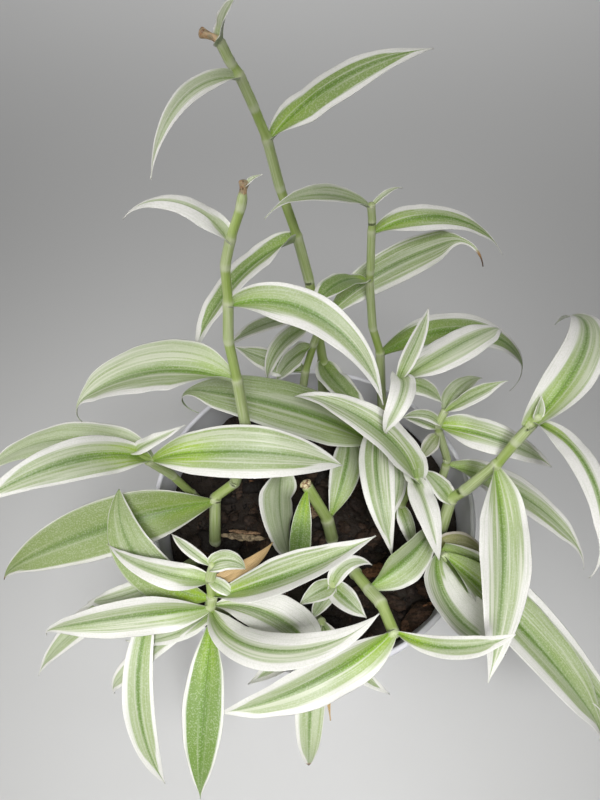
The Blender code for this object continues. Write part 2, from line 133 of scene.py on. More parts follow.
# Colours of the leaves
WHITE = (0.85, 0.835, 0.80)
SHADED_WHITE = (0.64, 0.665, 0.56)
CREAM = (0.68, 0.70, 0.57)
PALE_GREEN = (0.52, 0.58, 0.395)
LEAF_GREEN = (0.26, 0.36, 0.11)
CORE_GREEN = (0.13, 0.25, 0.03)
# Painted shade: a dark line in the groove along the midrib, for the shade in the fold
PAINTED_GROOVE_SHADE = (0.12, 0.19, 0.04)
BASE_GREEN = (0.36, 0.53, 0.045)
BASE_CORE = (0.23, 0.40, 0.02)
UNDER_GREEN = (0.46, 0.52, 0.36)
DRY_BROWN = (0.34, 0.19, 0.07)
DRY_DARK = (0.10, 0.055, 0.03)
STRAW = (0.70, 0.49, 0.24)

# Colours of the stems
BARE_GREENS = (0.30, 0.41, 0.09), (0.42, 0.51, 0.20)
BARE_STREAK = (0.50, 0.58, 0.28)
SHEATH_GREENS = (0.39, 0.48, 0.19), (0.54, 0.61, 0.35)
# Painted shade: a dark green painted low on each stem, for the shade near the soil
PAINTED_FOOT_SHADE = (0.13, 0.17, 0.05)
NODE_PALE = (0.62, 0.66, 0.46)
COLLAR_PALE = (0.60, 0.62, 0.44)
CRUST_BROWN = (0.46, 0.25, 0.13)
PITH = (0.78, 0.68, 0.42)

# Colours of the pot, the soil and the floor
PLASTICS = (0.78, 0.77, 0.84), (0.84, 0.83, 0.88)
# Painted light: the pot's inside wall is painted lighter than its plastic, for the lamp light on it
PAINTED_LIGHT_INSIDE = (0.93, 0.92, 0.97)
SOIL_DUST = (0.24, 0.19, 0.15)
SOIL_SPECK = (0.05, 0.035, 0.025)
PEATS = (0.005, 0.004, 0.003), (0.032, 0.020, 0.013)
BARKS = (0.010, 0.007, 0.006), (0.062, 0.034, 0.02)
RED_BARK = (0.26, 0.12, 0.055)
PALE_WOOD = (0.46, 0.35, 0.22)
BARK_GROOVE = (0.012, 0.008, 0.006)
PAPERS = (0.62, 0.62, 0.615), (0.66, 0.66, 0.655)

# How fine each noise is, in cells per metre
CELL_NOISE = 2100.0
LEAF_SPECKS = 700.0
CRUST_NOISE = 700.0
PITH_NOISE = 950.0
PLASTIC_CLOUD = 40.0
PLASTIC_GRAIN = 900.0
DUST_NOISE = 90.0
POT_SPECKS = 420.0
PEAT_NOISE = 900.0
BARK_GRAIN = 220.0
PAPER_CLOUD = 3.0

# The camera
LENS = 26.19
SENSOR_WIDTH = 36
CAMERA_PLACE = (-0.00505, -0.0913, 0.3008)
CAMERA_TILT = 34

# The room, and its lights: name, place, what it faces, size, power, spread in degrees and colour
ROOM_COLOUR = (0.90, 0.90, 0.90, 1)
ROOM_STRENGTH = 0.15
LIGHTS = (
    ("key", (0.03, -0.28, 0.58), (0, -0.10, 0.1), 0.16, 0.30, 60),
    ("fill", (-0.40, -0.28, 0.42), (-0.02, -0.04, 0.11), 0.4, 0.36, 90, (1, 0.99, 0.96)),
    ("top", (-0.05, -0.05, 0.8), (0, -0.05, 0.1), 0.4, 0.06, 60),
    ("floor_light", (0, 1.15, 1.8), (0, 1.15, 0), 1.3, 4.6, 60),
)


class Leaf(NamedTuple):
    """One blade. Angles are in degrees, length and width in millimetres.

    joint is the point of the stem's path that the blade leaves. heading is its compass direction
    there, turning from +X towards +Y, and rise its climb. Towards the tip the heading turns by
    sweep, the climb falls by droop, and by curl more in the last part. roll tips the blade about
    its midrib, and fold is how far each half stands up from flat. waist is how slowly the blade
    widens from the stem, and taper how slowly it narrows to its tip.

    The rest is its colouring. white holds the white share of its left and its right half, seen
    from above with the tip ahead. stripes is how strongly pale streaks cut up the green, tone how
    deep the green is, core how strong the stripe along the midrib, base how bright the green near
    the stem, dry how far the blade has withered, and scorch the brown share at its tip.
    """

    joint: float
    heading: float
    rise: float
    sweep: float
    droop: float
    length: float
    width: float
    roll: float = 0
    fold: float = 16
    curl: float = 0
    waist: float = 0.7
    taper: float = 1.15
    white: tuple = (0.26, 0.26)
    stripes: float = 0.5
    tone: float = 0.5
    core: float = 0.6
    base: float = 0.5
    dry: float = 0
    scorch: float = 0


class Stem(NamedTuple):
    """A leafy stem: its path in millimetres from where it leaves the soil, which runs from node to
    collar to node, the radius at its foot and at its tip, its leaves, and the length in
    millimetres over which its end has died back to brown."""

    path: tuple
    foot_radius: float
    tip_radius: float
    leaves: tuple
    dead_end: float = 0


STEMS = {
    "stem_back_left": Stem(
        (
            (5, 43, 90), (4, 50, 119), (-2, 54, 159), (-6, 55, 177), (-11, 55, 195),
            (-14, 55, 210), (-17, 55, 219), (-20, 55, 227), (-22, 55, 230), (-24, 55, 235),
            (-28, 56, 236),
        ),
        2.2, 1.2,
        (
            # These deep green tones are partly the leaves' own colour and partly painted shade, for the
            # dimmer light at the back of the plant
            Leaf(1, 278, 31, 47, 42, 32, 12, roll=14, fold=17, taper=0.9, tone=1.2),
            Leaf(3, 215, 10, 13, 70, 51, 13, roll=-17, fold=19, waist=0.5, taper=0.7,
                 white=(0.4, 0.42), stripes=0.9, tone=1.3, core=1),
            Leaf(5, 10, 52, -2, 50, 49, 11, roll=-19, fold=2, waist=0.9, taper=1.2,
                 white=(0.46, 0.3), stripes=0.7, tone=1.3, core=1, base=1),
            Leaf(7, 219, 29, 27, 90, 39, 5.5, roll=23, fold=23, waist=0.6, taper=1.3,
                 white=(0.5, 0.2), tone=0.25, core=0.3, base=0.2),
            Leaf(9, 336, 92, 25, 54, 13, 6.5, roll=-29, fold=33, waist=0.5, taper=1.4,
                 white=(0.3, 0.3), tone=0.2, core=0.2),
        ),
        dead_end=5,
    ),
    "stem_left": Stem(
        (
            (-37, -13, 90), (-36, -2, 105), (-28, 0, 113), (-24, 3, 130), (-22, 4, 138),
            (-23.5, 9, 163), (-25, 13, 176), (-24, 16, 188), (-24, 19, 198), (-22, 21, 205),
            (-19, 24, 212), (-18, 26, 217),
        ),
        2.1, 1.2,
        (
            Leaf(1, 201, 22, -11, 68, 92, 20, roll=31, fold=14, curl=18, waist=0.9, taper=1.3,
                 white=(0.16, 0.08), stripes=0.3, tone=1.1, core=1.2, base=0.7, dry=0.12, scorch=0.05),
            Leaf(5, 157, 6, 59, 36, 62, 21.5, roll=-6, fold=28, curl=77, waist=1, taper=1.5,
                 white=(0.32, 0.06), stripes=0.75, tone=0.38, core=0.9, base=0.6),
            Leaf(7, 359, 26, -56, 89, 56, 11.5, roll=-20, fold=27, taper=1.3,
                 white=(0.3, 0.42), stripes=0.4, tone=0.45, core=1.2),
            Leaf(9, 160, 71, 23, 121, 32, 6.5, roll=10, fold=3, waist=0.5, taper=1.3,
                 white=(0.97, 0.62), stripes=0.2, tone=0.1, core=0.15, base=0.2),
            Leaf(11, 20, 60, 0, 60, 6, 2, fold=30, tone=0.2, core=0),
        ),
        dead_end=3,
    ),
    "stem_back_right": Stem(
        (
            (30, 38, 90), (25.5, 48, 127), (21.5, 50, 139), (18.5, 52.5, 159.5),
            (18.5, 53.5, 163.5), (17.5, 55.5, 178.5), (17.5, 56.5, 181.5), (16.5, 56.5, 187.5),
        ),
        1.9, 1.2,
        (
            # These deep green tones are partly the leaves' own colour and partly painted shade, for the
            # dimmer light at the back of the plant
            Leaf(1, 28, 15, -33, 97, 106, 15, roll=-19, fold=14, curl=28, waist=0.6, taper=1.4,
                 white=(0.34, 0.34), tone=1.3, core=1.2),
            Leaf(3, 210, 56, 22, 73, 29, 11, roll=-14, fold=17, waist=1, taper=0.7,
                 white=(0.12, 0.2), tone=1.5, core=1.3, base=2),
            Leaf(5, 20, 25, -31, 78, 52, 10, roll=-17, fold=8, curl=2, waist=0.8, taper=1.6,
                 white=(0.38, 0.36), stripes=0.8, tone=1, core=1.3, base=1.1),
            Leaf(7, 206, 43, 22, 37, 44, 7, roll=20, fold=32, curl=29, waist=1.1, taper=1.5,
                 white=(0.25, 0.15), tone=0.45, core=0.4, base=0.2),
            Leaf(7, 26, 61, 10, 89, 13, 2.5, fold=34, tone=0.2, core=0),
        ),
    ),
    "stem_right": Stem(
        (
            (47, -12, 91), (49, -4, 108), (53, -3, 113), (61, 0, 127), (65, 3, 137), (69, 6, 143),
            (70, 7, 146),
        ),
        2.2, 1.6,
        (
            Leaf(1, 146, 70, -25, 105, 18, 8, tone=0.7),
            Leaf(3, 270, 0, -20, 14, 67, 17.5, roll=8, fold=24, curl=3, waist=0.8, taper=1.1,
                 white=(0.25, 0.42), stripes=1, tone=0.32, core=0.85, base=0.8),
            Leaf(5, 34, 60, 66, 134, 73, 14, roll=7, fold=24, waist=0.4, taper=1,
                 white=(0.55, 0.3), tone=0.3, core=0.9, base=0.9),
            Leaf(5.5, 294, 48, -43, 81, 61, 8, roll=-5, fold=6, curl=57, waist=0.8, taper=1.3,
                 white=(0.72, 0.72), stripes=0.3, tone=0.25, core=1, base=1.2),
            Leaf(6, 91, 80, 0, 30, 9, 4, fold=40, tone=0.3),
        ),
    ),
    "stem_front_cut": Stem(
        (
            (7, -12, 90), (5, -8, 99), (-3, 0, 112),
        ),
        2.3, 2.1,
        (
            Leaf(2, 258, 0, 13, 80, 36, 8, fold=30, curl=7, waist=1, taper=0.8,
                 white=(0.04, 0.07), stripes=0.2, tone=1.9, core=2, base=2.4),
            Leaf(1, 61, 45, 34, 92, 46, 11.5, roll=-4, fold=7, waist=1.5, taper=1.5,
                 white=(0.2, 0.12), tone=0.6, core=1, base=1),
        ),
        dead_end=1,
    ),
    "stem_front": Stem(
        (
            (12, -21, 91), (14, -29, 102), (18, -36, 106), (21, -41, 110), (24, -51, 112),
        ),
        2.2, 1.9,
        (
            Leaf(2, 23, 31, 43, 74, 40, 15, roll=-41, fold=39, curl=21, waist=1.1, taper=1.6,
                 white=(0.0, 0.1), stripes=0.3, tone=0.6, core=1.3, base=0.7),
            Leaf(4, 220, 15, -37, 52, 62, 15, roll=39, fold=27,
                 white=(0.32, 0.34), stripes=0.7, tone=0.4, core=1.2, base=1.2),
            Leaf(4, 316, 34, 63, -11, 40, 6.5, roll=-8, fold=27, curl=21, waist=1, taper=0.8,
                 white=(0.34, 0.36), stripes=0, tone=0.3, core=1.1, base=2),
        ),
    ),
    "shoot_front_left": Stem(
        (
            (-31, -38, 90), (-34, -42, 103), (-34, -41, 108), (-33, -39, 112), (-33, -36, 120),
            (-31, -34, 127),
        ),
        2.1, 1.5,
        (
            # This blade's deep tone and core are partly its own colour and partly painted shade, as it
            # hangs steeply into less light
            Leaf(1, 270, 14, -7, 77, 61, 14.5, roll=-17, fold=20, waist=1.5, taper=1.5,
                 white=(0.13, 0.13), stripes=0.35, tone=1.9, core=1.6, base=1.2),
            Leaf(1.5, 291, 53, 109, 49, 70, 12, roll=16, fold=6, waist=1, taper=1.1,
                 white=(0.75, 0.45), stripes=0.9, tone=0.1, core=0.8, base=0.8),
            Leaf(1, 229, 25, -60, 46, 31, 6, waist=0.5,
                 white=(0.5, 0.2), stripes=0.3, tone=0.3, core=0.4, base=0.6),
            Leaf(2, 197, 38, -21, 86, 64, 13.5, roll=46, fold=23, curl=31, waist=0.9, taper=1.6,
                 white=(0.42, 0.4), stripes=0.9, tone=0.45, core=1),
            Leaf(3, 350, 53, 34, 35, 63, 13.5, roll=16, fold=30, waist=1.3, taper=1.2,
                 white=(0.24, 0.42), stripes=0.8, tone=0.75, core=1.5, base=2),
            Leaf(4, 184, 26, -50, 62, 41, 9, fold=10, waist=0.5, taper=1.4,
                 white=(0.6, 0.5), stripes=0.3, tone=0.35, scorch=0.06),
            Leaf(3, 178, 13, -87, 5, 53, 14, roll=16, fold=4, waist=0.8, taper=0.8,
                 white=(0.06, 0.06), stripes=0.05, tone=0.8, core=0.8, base=1.8, dry=0.04),
            Leaf(2, 0, 35, -44, 75, 40, 16.5, roll=15, fold=23, waist=1.2, taper=0.5,
                 white=(0.74, 0.62), stripes=0.9, core=1),
            Leaf(4, 330, 40, 0, 100, 11, 4.5, tone=0.3),
            Leaf(5, 156, 39, -26, 78, 19, 3.5, waist=0.9, white=(0.4, 0.4), tone=0.3),
            Leaf(5, 22, 88, -51, 173, 15, 7, white=(0.15, 0.25), stripes=0.9, tone=0.5),
            Leaf(4, 12, 1, 46, 11, 24, 5, dry=1),
            Leaf(1, 213, 27, 0, 101, 52, 7, curl=15, waist=1, taper=1,
                 white=(0.4, 0.4), stripes=0.1, tone=0.2, core=0.3, base=0.1),
        ),
    ),
    "shoot_left": Stem(
        (
            (-43, 2, 90), (-45, 0, 104), (-49, -1, 121), (-53, -4, 137), (-57, -4, 143),
        ),
        1.6, 1.4,
        (
            Leaf(3, 213, 70, -2, 91, 56, 13, roll=19, fold=21, waist=1, taper=1.2,
                 white=(0.2, 0.34), stripes=0.6, core=1.4, base=3.2),
            Leaf(3, 157, 26, 55, 66, 64, 14, roll=-4, waist=0.5,
                 white=(0.1, 0.16), stripes=0.05, tone=0.3, core=0.2, base=0.1),
            Leaf(4, 341, 67, 59, 75, 22, 6, fold=18, waist=0.5, taper=1.2,
                 white=(0.6, 0.6), tone=0.3, core=0.3),
            Leaf(3, 347, 47, 18, 84, 67, 16.5, roll=-14, fold=18, waist=1.1, taper=1,
                 white=(0.14, 0.3), stripes=0.7, core=1, base=3.2),
        ),
    ),
    "shoot_centre": Stem(
        (
            (24, 23, 90), (24, 25, 98), (25, 25, 108), (25, 23, 117), (28, 23, 143),
        ),
        1.8, 1.4,
        (
            Leaf(1, 188, 59, -17, 69, 99, 22.5, roll=2, fold=11, curl=150, taper=1.1,
                 white=(0.08, 0.1), stripes=0.6, tone=0.7, core=1, base=1.1),
            Leaf(4, 17, 44, 23, 77, 50, 13, roll=5, fold=6, curl=45, waist=0.8, taper=1,
                 white=(0.6, 0.3), stripes=0.6, tone=0.25),
            Leaf(4, 48, 78, 24, 76, 29, 6, roll=-13, fold=40, waist=0.8, taper=1,
                 white=(0.3, 0.3), tone=0.4),
            Leaf(4, 284, 83, -69, 181, 34, 9, roll=13, fold=17, curl=35, waist=0.6, taper=1.1,
                 white=(0.5, 0.75), tone=0.25, core=0.4),
            Leaf(3, 251, 34, 44, 87, 56, 12, curl=11, waist=1, taper=1.3,
                 white=(0.4, 0.36), stripes=1, tone=0.45, core=0.8),
            Leaf(4, 345, 27, -5, 90, 19, 8, tone=0.6),
            Leaf(3, 299, 21, -53, 80, 39, 7, fold=15, waist=0.9, taper=1,
                 white=(0.4, 0.1), stripes=0.4, tone=0.4, core=0.7),
        ),
    ),
    "shoot_right": Stem(
        (
            (49, 6, 90), (50, 11, 105), (50, 12, 108), (44, 15, 124), (43, 15, 128), (45, 18, 132),
        ),
        1.6, 1.3,
        (
            Leaf(1.5, 353, -9, -51, 14, 70, 13, roll=-4, fold=19, curl=44, taper=1.2,
                 white=(0.4, 0.35), stripes=0.8, tone=0.45, base=0.6),
            Leaf(4, 342, 17, -2, 48, 42, 12.5, roll=-9, fold=14, waist=0.5, taper=0.9,
                 white=(0.25, 0.45), stripes=0.8, tone=0.3, core=0.9, base=1.3),
            Leaf(5, 356, 66, 27, 52, 26, 6.5, roll=5, curl=24, waist=1.2,
                 white=(0.15, 0.5), tone=0.6, base=0.9),
            Leaf(5, 65, 23, -40, 56, 26, 7.5, roll=4, waist=0.8,
                 white=(0.1, 0.1), tone=0.4, core=0.2, base=0.1),
            Leaf(4, 168, 84, 10, 145, 18, 5, white=(0.4, 0.3)),
            Leaf(3.5, 173, 35, -30, 65, 15, 4, white=(0.5, 0.4)),
            Leaf(3, 223, -30, 0, 45, 13, 6, dry=0.25),
        ),
    ),
    "shoot_centre_right": Stem(
        (
            (28, -6, 90), (32, -4, 104), (35, -1, 118),
        ),
        1.8, 1.4,
        (
            Leaf(1, 278, 22, 22, 95, 18, 6, white=(0.1, 0.4), base=1),
            Leaf(2, 153, 79, 2, 102, 61, 14, fold=29, curl=18, waist=0.6, taper=1,
                 white=(0.25, 0.35), stripes=1, tone=0.55, core=0.9, base=0.7),
            Leaf(2, 133, 88, -15, 98, 24, 11, fold=35, white=(0.5, 0.4)),
            Leaf(2, 271, 53, 19, 107, 33, 9.5, roll=9, fold=13, waist=0.6, taper=1,
                 white=(0.75, 0.75), stripes=0.8, tone=0.15, core=0.25, base=0.2),
        ),
    ),
    "shoot_back": Stem(
        (
            (-6, 37, 90), (-3, 40, 126), (0, 44, 137), (3, 47, 146),
        ),
        1.6, 1.4,
        (
            Leaf(3, 55, 18, -112, -35, 71, 13.5, roll=-38, fold=14, curl=117, waist=1.1, taper=1,
                 white=(0.15, 0.3), stripes=1, tone=0.7, core=0.8, scorch=0.09),
            Leaf(3, 197, 45, 6, 80, 36, 7.5, roll=-10, fold=15, waist=0.9, taper=0.6),
            Leaf(3, 194, 10, 41, 101, 34, 9, roll=-6, fold=23, waist=0.5, taper=0.9),
            Leaf(2, 193, -20, 20, 50, 22, 10),
            Leaf(1, 155, -5, 10, -25, 30, 12),
        ),
    ),
    "shoot_front_right": Stem(
        (
            (43, -17, 90), (44, -21, 101), (45, -24, 104),
        ),
        1.8, 1.6,
        (
            Leaf(1, 245, 15, 96, -8, 46, 20, roll=21, fold=43, curl=76, waist=0.9, taper=0.6,
                 white=(0.8, 0.36), stripes=1, tone=0.35, core=1.1),
            Leaf(2, 311, 13, 4, 60, 84, 19, roll=7, fold=26, curl=25, waist=0.8, taper=1.1,
                 white=(0.04, 0.34), stripes=0.6, tone=0.6, core=1, base=0.9),
            Leaf(1, 33, 33, -95, 50, 19, 10, tone=1, dry=0.5),
            Leaf(1.5, 320, 2, -7, 34, 94, 19.5, roll=-5, fold=32, curl=2, waist=0.35, taper=1.3,
                 white=(0.3, 0.1), stripes=0.3, tone=0.7, core=1.2, base=0.7),
        ),
    ),
    "shoot_front_small": Stem(
        (
            (5, -29, 90), (6, -34, 104),
        ),
        1.5, 1.3,
        (
            Leaf(1, 300, 50, 30, 90, 17, 8, white=(0.3, 0.4), core=0.9, base=0.8),
            Leaf(1, 240, 50, -10, 115, 15, 6, white=(0.2, 0.3), core=0.8),
            Leaf(1, 211, 57, 0, 95, 15, 7, white=(0.2, 0.2)),
            Leaf(1, 76, 74, -95, 120, 20, 6, white=(0.5, 0.4), tone=0.3, core=0.3),
        ),
    ),
    "shoot_front_low": Stem(
        (
            (1, -41, 90), (2, -45, 102),
        ),
        1.6, 1.4,
        (
            Leaf(1, 258, 17, 15, 98, 53, 9.5, taper=0.9,
                 white=(0.1, 0.25), stripes=0.3, core=0.9, scorch=0.07),
            Leaf(1, 234, 28, -35, 77, 33, 7.5, white=(0.6, 0.6), tone=0.3),
            Leaf(1, 290, 35, 52, 83, 34, 7, white=(0.6, 0.6), tone=0.3),
        ),
    ),
    "shoot_left_low": Stem(
        (
            (-43, -20, 90), (-49, -33, 110),
        ),
        1.7, 1.5,
        (
            Leaf(1, 245, 5, 57, 62, 69, 9.5, fold=18, waist=1.3, taper=1.1,
                 white=(0.3, 0.3), stripes=0.3, core=1.2, base=0.8),
            Leaf(1, 204, 3, 9, 64, 65, 9, roll=5, fold=20, waist=0.9, taper=1.3,
                 white=(0.3, 0.3), stripes=0.1, tone=0.3, core=0.3),
            Leaf(1, 221, 25, -58, 75, 32, 8, white=(0.4, 0.4), tone=0.3, core=0.3),
        ),
    ),
    "shoot_centre_left": Stem(
        (
            (-11, 8, 90), (-11, 9, 112),
        ),
        1.6, 1.4,
        (
            Leaf(1, 256, 8, 45, 80, 41, 20, roll=54, fold=3, waist=1.1, taper=1.5,
                 white=(0.14, 0.2), stripes=0.3, tone=0.2, core=0.3, base=0.1),
            Leaf(1, 345, 37, 20, 85, 14, 6),
        ),
    ),
}


# Withered blades that have dried to a thread, and the stems that they hang from
WITHERED = {
    "shoot_front_low": (Leaf(1, 274, 5, 3, 43, 30, 3, fold=30, dry=1),),
}


class Shape(NamedTuple):
    """A closed surface: its points, its triangles, the marks on its points and its finish."""

    points: np.ndarray
    triangles: np.ndarray
    marks: dict
    finish: int = 0


# Surfaces


def unit(vectors):
    return vectors / np.linalg.norm(vectors, axis=-1, keepdims=True)


def once_round(sides):
    """Angles in equal steps once round."""
    return 2 * math.pi * np.arange(sides) / sides


def level_circle(sides):
    """Points in equal steps round a level circle of radius one."""
    turn = once_round(sides)
    return np.stack([np.cos(turn), np.sin(turn), 0 * turn], axis=1)


def ball(rows, columns, gap):
    """Points of a ball of radius one, from its top row to its bottom row, which lie the angle gap
    from the poles: the sine of that angle times a level circle, raised by its cosine."""
    polar = np.linspace(gap, math.pi - gap, rows)[:, None, None]
    return np.sin(polar) * level_circle(columns) + np.cos(polar) * UP


def per_point(grid, *values):
    """Three marks for each point of a grid, from values that follow its rows or its columns."""
    return np.stack([np.broadcast_to(value, grid) for value in values], axis=-1)


def closed_grid(rings, marks, finish=0):
    """A tube through a grid of rings, closed at each end by a point in the middle of the ring.

    Row i, column j of the grid joins row i + 1 and column j + 1, and the last column joins the
    first. The triangles are turned round if the volume that they close comes out negative.
    """
    rows, columns = rings.shape[:2]
    points = np.vstack([rings.reshape(-1, 3), rings[0].mean(axis=0), rings[-1].mean(axis=0)])
    row, column = np.meshgrid(np.arange(rows - 1), np.arange(columns), indexing="ij")
    onward = (column + 1) % columns
    corners = [row * columns + column, row * columns + onward]
    corners += [corners[1] + columns, corners[0] + columns]
    halves = [np.stack([corners[k] for k in half], axis=-1) for half in ((0, 1, 2), (0, 2, 3))]
    loop = np.arange(columns)
    after = (loop + 1) % columns
    last = (rows - 1) * columns
    start_cap = np.stack([after, loop, np.full(columns, rows * columns)], axis=1)
    end_cap = np.stack([last + loop, last + after, np.full(columns, rows * columns + 1)], axis=1)
    triangles = np.vstack([half.reshape(-1, 3) for half in halves] + [start_cap, end_cap])
    corner_points = points[triangles] - points.mean(axis=0)
    if np.linalg.det(corner_points).sum() < 0:
        triangles = triangles[:, ::-1]
    closed_marks = {}
    for name, values in marks.items():
        full = np.broadcast_to(values, (rows, columns, 3))
        closed_marks[name] = np.vstack([full.reshape(-1, 3), full[0].mean(axis=0), full[-1].mean(axis=0)])
    return Shape(points, triangles, closed_marks, finish)


def tube(centre, side, other, radius, sides, marks, finish=0):
    """A circle carried along a path, set out by the two ways across the path at each point."""
    turn = once_round(sides)
    ring = side[:, None] * np.cos(turn)[:, None] + other[:, None] * np.sin(turn)[:, None]
    return closed_grid(centre[:, None] + ring * radius, marks, finish)


def ways_across(centre):
    """The level way across a path at each of its points, and the way square to it."""
    ahead = unit(np.gradient(centre, axis=0))
    side = unit(np.cross(ahead, UP))
    return side, np.cross(side, ahead)


def turned(profile, sides, marks):
    """A profile of radius and height carried round the pot's axis."""
    rings = profile[:, 0, None, None] * level_circle(sides) + profile[:, 1, None, None] * UP
    return closed_grid(rings, marks)


def build(name, shapes, finishes):
    """One object from several closed surfaces, with smooth faces and its place in its mesh."""
    counts = [len(shape.points) for shape in shapes]
    firsts = np.concatenate([[0], np.cumsum(counts)[:-1]])
    points = np.vstack([shape.points for shape in shapes])
    triangles = np.vstack([shape.triangles + first for shape, first in zip(shapes, firsts)])
    numbers = np.concatenate([np.full(len(shape.triangles), shape.finish) for shape in shapes])
    mesh = bpy.data.meshes.new(name)
    mesh.vertices.add(len(points))
    mesh.vertices.foreach_set("co", points.astype(np.float32).ravel())
    mesh.loops.add(triangles.size)
    mesh.loops.foreach_set("vertex_index", triangles.astype(np.int32).ravel())
    mesh.polygons.add(len(triangles))
    mesh.polygons.foreach_set("loop_start", np.arange(0, triangles.size, 3, dtype=np.int32))
    for material in finishes:
        mesh.materials.append(material)
    mesh.update(calc_edges=True)
    mesh.polygons.foreach_set("material_index", numbers.astype(np.int32))
    mesh.polygons.foreach_set("use_smooth", np.ones(len(triangles), bool))
    blank = np.zeros(3)
    for mark in sorted({mark for shape in shapes for mark in shape.marks}):
        rows = [
            np.broadcast_to(shape.marks.get(mark, blank), (count, 3))
            for shape, count in zip(shapes, counts)
        ]
        attribute = mesh.attributes.new(mark, "FLOAT_VECTOR", "POINT")
        attribute.data.foreach_set("vector", np.vstack(rows).astype(np.float32).ravel())
    mesh.validate()
    thing = bpy.data.objects.new(name, mesh)
    bpy.context.scene.collection.objects.link(thing)
    return thing


# Leaves


def joint_point(stem, joint):
    """The place inside a stem where a blade is rooted: joint counts the points of the stem's path,
    and the root lies BLADE_ROOT back along the stretch that leads there."""
    path = np.array(stem.path, float) * MM
    first = max(math.ceil(joint) - 1, 0)
    onward = path[first + 1] - path[first]
    return path[first] + onward * (joint - first) - unit(onward) * BLADE_ROOT


def midrib(base, leaf):
    """Points along the middle of a blade, with the ways across and up at each.

    The way ahead has the leaf's heading and climb at that share t of its length, and the points
    are its running sum. Across is level and to the right, up is square to both, and roll turns
    the two about the way ahead.
    """
    t = np.linspace(0, 1, MIDRIB_STEPS + 1)
    curl = np.clip((t - CURL_START) / (1 - CURL_START), 0, 1) * leaf.curl
    heading = np.radians(leaf.heading + leaf.sweep * t)
    climb = np.radians(leaf.rise - leaf.droop * t - curl)
    level = np.cos(climb)
    ahead = np.stack([level * np.cos(heading), level * np.sin(heading), np.sin(climb)], axis=1)
    step = (ahead[1:] + ahead[:-1]) / 2 * leaf.length * MM / MIDRIB_STEPS
    points = base + np.vstack([np.zeros(3), np.cumsum(step, axis=0)])
    across = np.stack([np.sin(heading), -np.cos(heading), 0 * t], axis=1)
    up = np.cross(across, ahead)
    turn = math.radians(leaf.roll)
    tipped = across * math.cos(turn) + up * math.sin(turn)
    return t, points, tipped, np.cross(tipped, ahead)


def half_widths(leaf, t):
    """Narrow at the stem and drawn out to a point: t to the power waist times one minus t to the
    power taper, scaled so that the widest place has the leaf's width. The more the tip curls, the
    more the last part of the blade is drawn in to a thread."""
    widest = (leaf.waist - leaf.taper * BASE_OFFSET) / (leaf.waist + leaf.taper)
    full = (widest + BASE_OFFSET) ** leaf.waist * (1 - widest) ** leaf.taper
    shape = (t + BASE_OFFSET) ** leaf.waist * (1 - t) ** leaf.taper / full
    drawn_in = np.clip((t - THREAD_START) / THREAD_NARROWS_OVER, 0, 1)
    drawn_in = drawn_in**2 * (3 - 2 * drawn_in) * min(leaf.curl / FULL_CURL, 1)
    return np.maximum(leaf.width / 2 * MM * shape * (1 - THREAD_SLIMS_BY * drawn_in), TIP_HALF_WIDTH)


def blade_section(leaf, t, luck):
    """Sideways and upward place of a blade's middle surface, from its left edge to its right.

    From the midrib outwards each half starts level, turns up to the fold within FOLD_SOFTNESS of
    its width, and then bends on: inwards near the stem, where the blade clasps it, and a little
    downwards further out. The place is the running sum of that direction. A slow ripple, strongest
    at the edge, is added to the height.
    """
    s = np.array(HALF_COLUMNS)
    opening = np.clip(t / FOLD_OPENS_BY, 0, 1)[:, None]
    fold = np.radians(BASE_FOLD + (leaf.fold - BASE_FOLD) * opening)
    clasp = CLASP * (1 - opening) ** 1.5
    crown = CROWN * opening * (1 - 0.6 * t[:, None])
    slope = fold * np.tanh(s / FOLD_SOFTNESS) + (clasp - crown) * s
    widths = np.diff(s) * half_widths(leaf, t)[:, None]
    middle = (slope[:, 1:] + slope[:, :-1]) / 2
    start = np.zeros((len(t), 1))
    out = np.hstack([start, np.cumsum(np.cos(middle) * widths, axis=1)])
    lift = np.hstack([start, np.cumsum(np.sin(middle) * widths, axis=1)])
    grows = np.clip(t * 6, 0, 1) * np.clip((1 - t) * 4, 0, 1) * min(leaf.width / USUAL_WIDTH, 1)
    sides, heights = [], []
    for side in (-1, 1):
        slow, quick = luck.uniform(*SLOW_WAVES), luck.uniform(*QUICK_WAVES)
        slow_start, quick_start = luck.uniform(0, 2 * math.pi, 2)
        swing = np.sin(2 * math.pi * slow * t + slow_start)
        swing += QUICK_SHARE * np.sin(2 * math.pi * quick * t + quick_start)
        spread = 1 + luck.uniform(-0.04, 0.04)
        sides.append(side * out * spread)
        heights.append(lift + RIPPLE * (swing * grows)[:, None] * s**2)
    across = np.hstack([sides[0][:, :0:-1], sides[1]])
    height = np.hstack([heights[0][:, :0:-1], heights[1]])
    return np.concatenate([-s[:0:-1], s]), across, height


